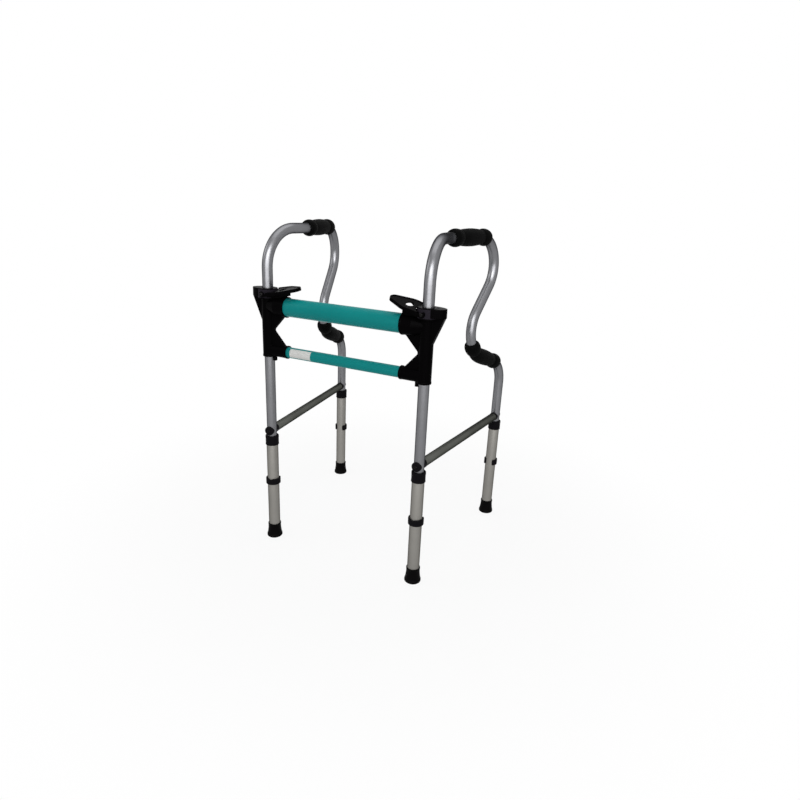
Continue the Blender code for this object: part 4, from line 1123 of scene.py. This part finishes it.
corner, paddle, screw, spring = corner_mesh(), paddle_mesh(), paddle_screw_mesh(), spring_mesh()
bush = bush_mesh()
rivets = (("top", rivet_mesh(TOP_BAR_R), TOP_BAR_Z), ("lower", rivet_mesh(LOW_BAR_R), LOW_BAR_Z))
for side, sign in SIDES:
    place = corner_place(sign)
    add_piece(f"{side}_corner", corner, "black_moulding", "crossbar_frame",
              f"{side}_housing", place, SOFT_EDGES)
    add_piece(f"{side}_hub_bush", bush, "smooth_bush", "crossbar_frame", None, place)
    for which, mesh, z in rivets:
        add_piece(f"{side}_{which}_bar_rivet", mesh, "zinc_steel", "crossbar_frame",
                  f"{side}_{which}_rivet", place @ shift(RIVET_X, 0, z))
    pivot = place @ shift(PIVOT_X, 0, PIVOT_Z)
    add_piece(f"{side}_release_paddle", paddle, "black_moulding", f"{side}_paddle_body",
              f"{side}_paddle", pivot @ Matrix.Rotation(PADDLE_RAISED[side], 4, "Y"), SOFT_EDGES)
    for which, turn in (("rear", 0.0), ("front", math.pi)):
        add_piece(f"{side}_{which}_pivot_screw", screw, "blackened_steel", "crossbar_frame",
                  f"{side}_{which}_paddle_screw", pivot @ Matrix.Rotation(turn, 4, "Z"))
    coil = add_piece(f"{side}_pin_spring", spring, "zinc_steel", None, f"{side}_lock_spring",
                     place @ shift(z=PIN_Z))
    ends = [place @ Vector((x, 0, PIN_Z)) for x in (SPRING_LOW, SPRING_HIGH)]
    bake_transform(coil)
    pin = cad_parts[f"{side}_lock_pin"]
    pin.data.materials.clear()
    pin.data.materials.append(FINISHES["zinc_steel"])

bars_place = shift(y=FRONT_Y)
add_piece("top_bar", bar_mesh(TOP_BAR_R, TOP_BAR_Z), "teal_coat", "crossbar_frame",
          "top_crossbar", bars_place)
add_piece("lower_bar", bar_mesh(LOW_BAR_R, LOW_BAR_Z), "teal_coat", "crossbar_frame",
          "lower_crossbar", bars_place)
add_piece("bare_label", label_mesh(), "bare_label", "crossbar_frame", None)


# Studio: pale floor, soft light and the camera

def box_light(name, place, target, size, power):
    data = bpy.data.lights.new(name, "AREA")
    data.shape = "RECTANGLE"
    data.size, data.size_y = size
    data.energy = power
    lamp = bpy.data.objects.new(name, data)
    bpy.context.scene.collection.objects.link(lamp)
    lamp.location = place
    lamp.rotation_euler = (Vector(target) - Vector(place)).to_track_quat("-Z", "Y").to_euler()
    return lamp


floor_shape = bmesh.new()
bmesh.ops.create_grid(floor_shape, x_segments=1, y_segments=1, size=30)
floor_mesh = bpy.data.meshes.new("floor")
floor_shape.to_mesh(floor_mesh)
floor_shape.free()
floor = bpy.data.objects.new("floor", floor_mesh)
bpy.context.scene.collection.objects.link(floor)
# The floor is almost clear to the camera, so that the white round it shows, and so do feet drawn out below it
recipe, _ = finish("studio_floor", {"Base Color": grey(0.80), "Roughness": 0.9, "Specular IOR Level": 0.1})
floor_mesh.materials.append(FINISHES["studio_floor"])
tree = recipe.tree
clear = recipe.node("ShaderNodeBsdfTransparent", {}, {"Color": grey(1.0)})
lit = Term(recipe, tree.nodes["Principled BSDF"].outputs[0])
away = recipe.node("ShaderNodeVectorMath", {"operation": "LENGTH"}, {0: recipe.place()}, "Value")
clearness = recipe.in_view() * (0.90 + 0.10 * away.over(0.35, 1.1)) + recipe.ray("Is Shadow Ray")
shown = recipe.node("ShaderNodeMixShader", {}, {0: clearness, 1: lit, 2: clear})
tree.links.new(shown.socket, tree.nodes["Material Output"].inputs["Surface"])

world = bpy.data.worlds.new("studio")
bpy.context.scene.world = world
world.use_nodes = True
recipe = Recipe(world.node_tree)
glow = recipe.mixed(recipe.in_view(), grey(0.40), grey(1.0))
world.node_tree.links.new(glow.socket, world.node_tree.nodes["Background"].inputs["Color"])

box_light("front_softbox", (0.9, -2.2, 2.0), (0, 0, 0.5), (1.4, 1.4), 22)
box_light("left_softbox", (-2.2, -1.2, 1.9), (0, 0, 0.5), (1.2, 1.2), 8)
sheen = box_light("tall_screen", (1.05, -2.10, 1.40), (0.05, -0.1, 1.40), (3.4, 2.3), 88)
sheen.visible_diffuse = False
box_light("overhead", (0, 0.3, 2.8), (0, 0, 0.4), (2.4, 2.4), 22)

YAW, PITCH, ROLL = math.radians(25.13), math.radians(18.66), math.radians(-2.63)
EYE = Vector((0.6784, -1.3279, 0.8774))
forward = Vector((-math.sin(YAW) * math.cos(PITCH), math.cos(YAW) * math.cos(PITCH), -math.sin(PITCH)))
level = Vector((math.cos(YAW), math.sin(YAW), 0))
below = forward.cross(level)
right = math.cos(ROLL) * level + math.sin(ROLL) * below
down = -math.sin(ROLL) * level + math.cos(ROLL) * below
camera_data = bpy.data.cameras.new("camera")
camera_data.lens = 25.983
camera_data.sensor_width = 36
camera_data.clip_start = 0.01
camera = bpy.data.objects.new("camera", camera_data)
bpy.context.scene.collection.objects.link(camera)
camera.matrix_world = Matrix.Translation(EYE) @ Matrix((right, -down, -forward)).transposed().to_4x4()
bpy.context.scene.camera = camera
bpy.context.scene.view_settings.view_transform = "Standard"
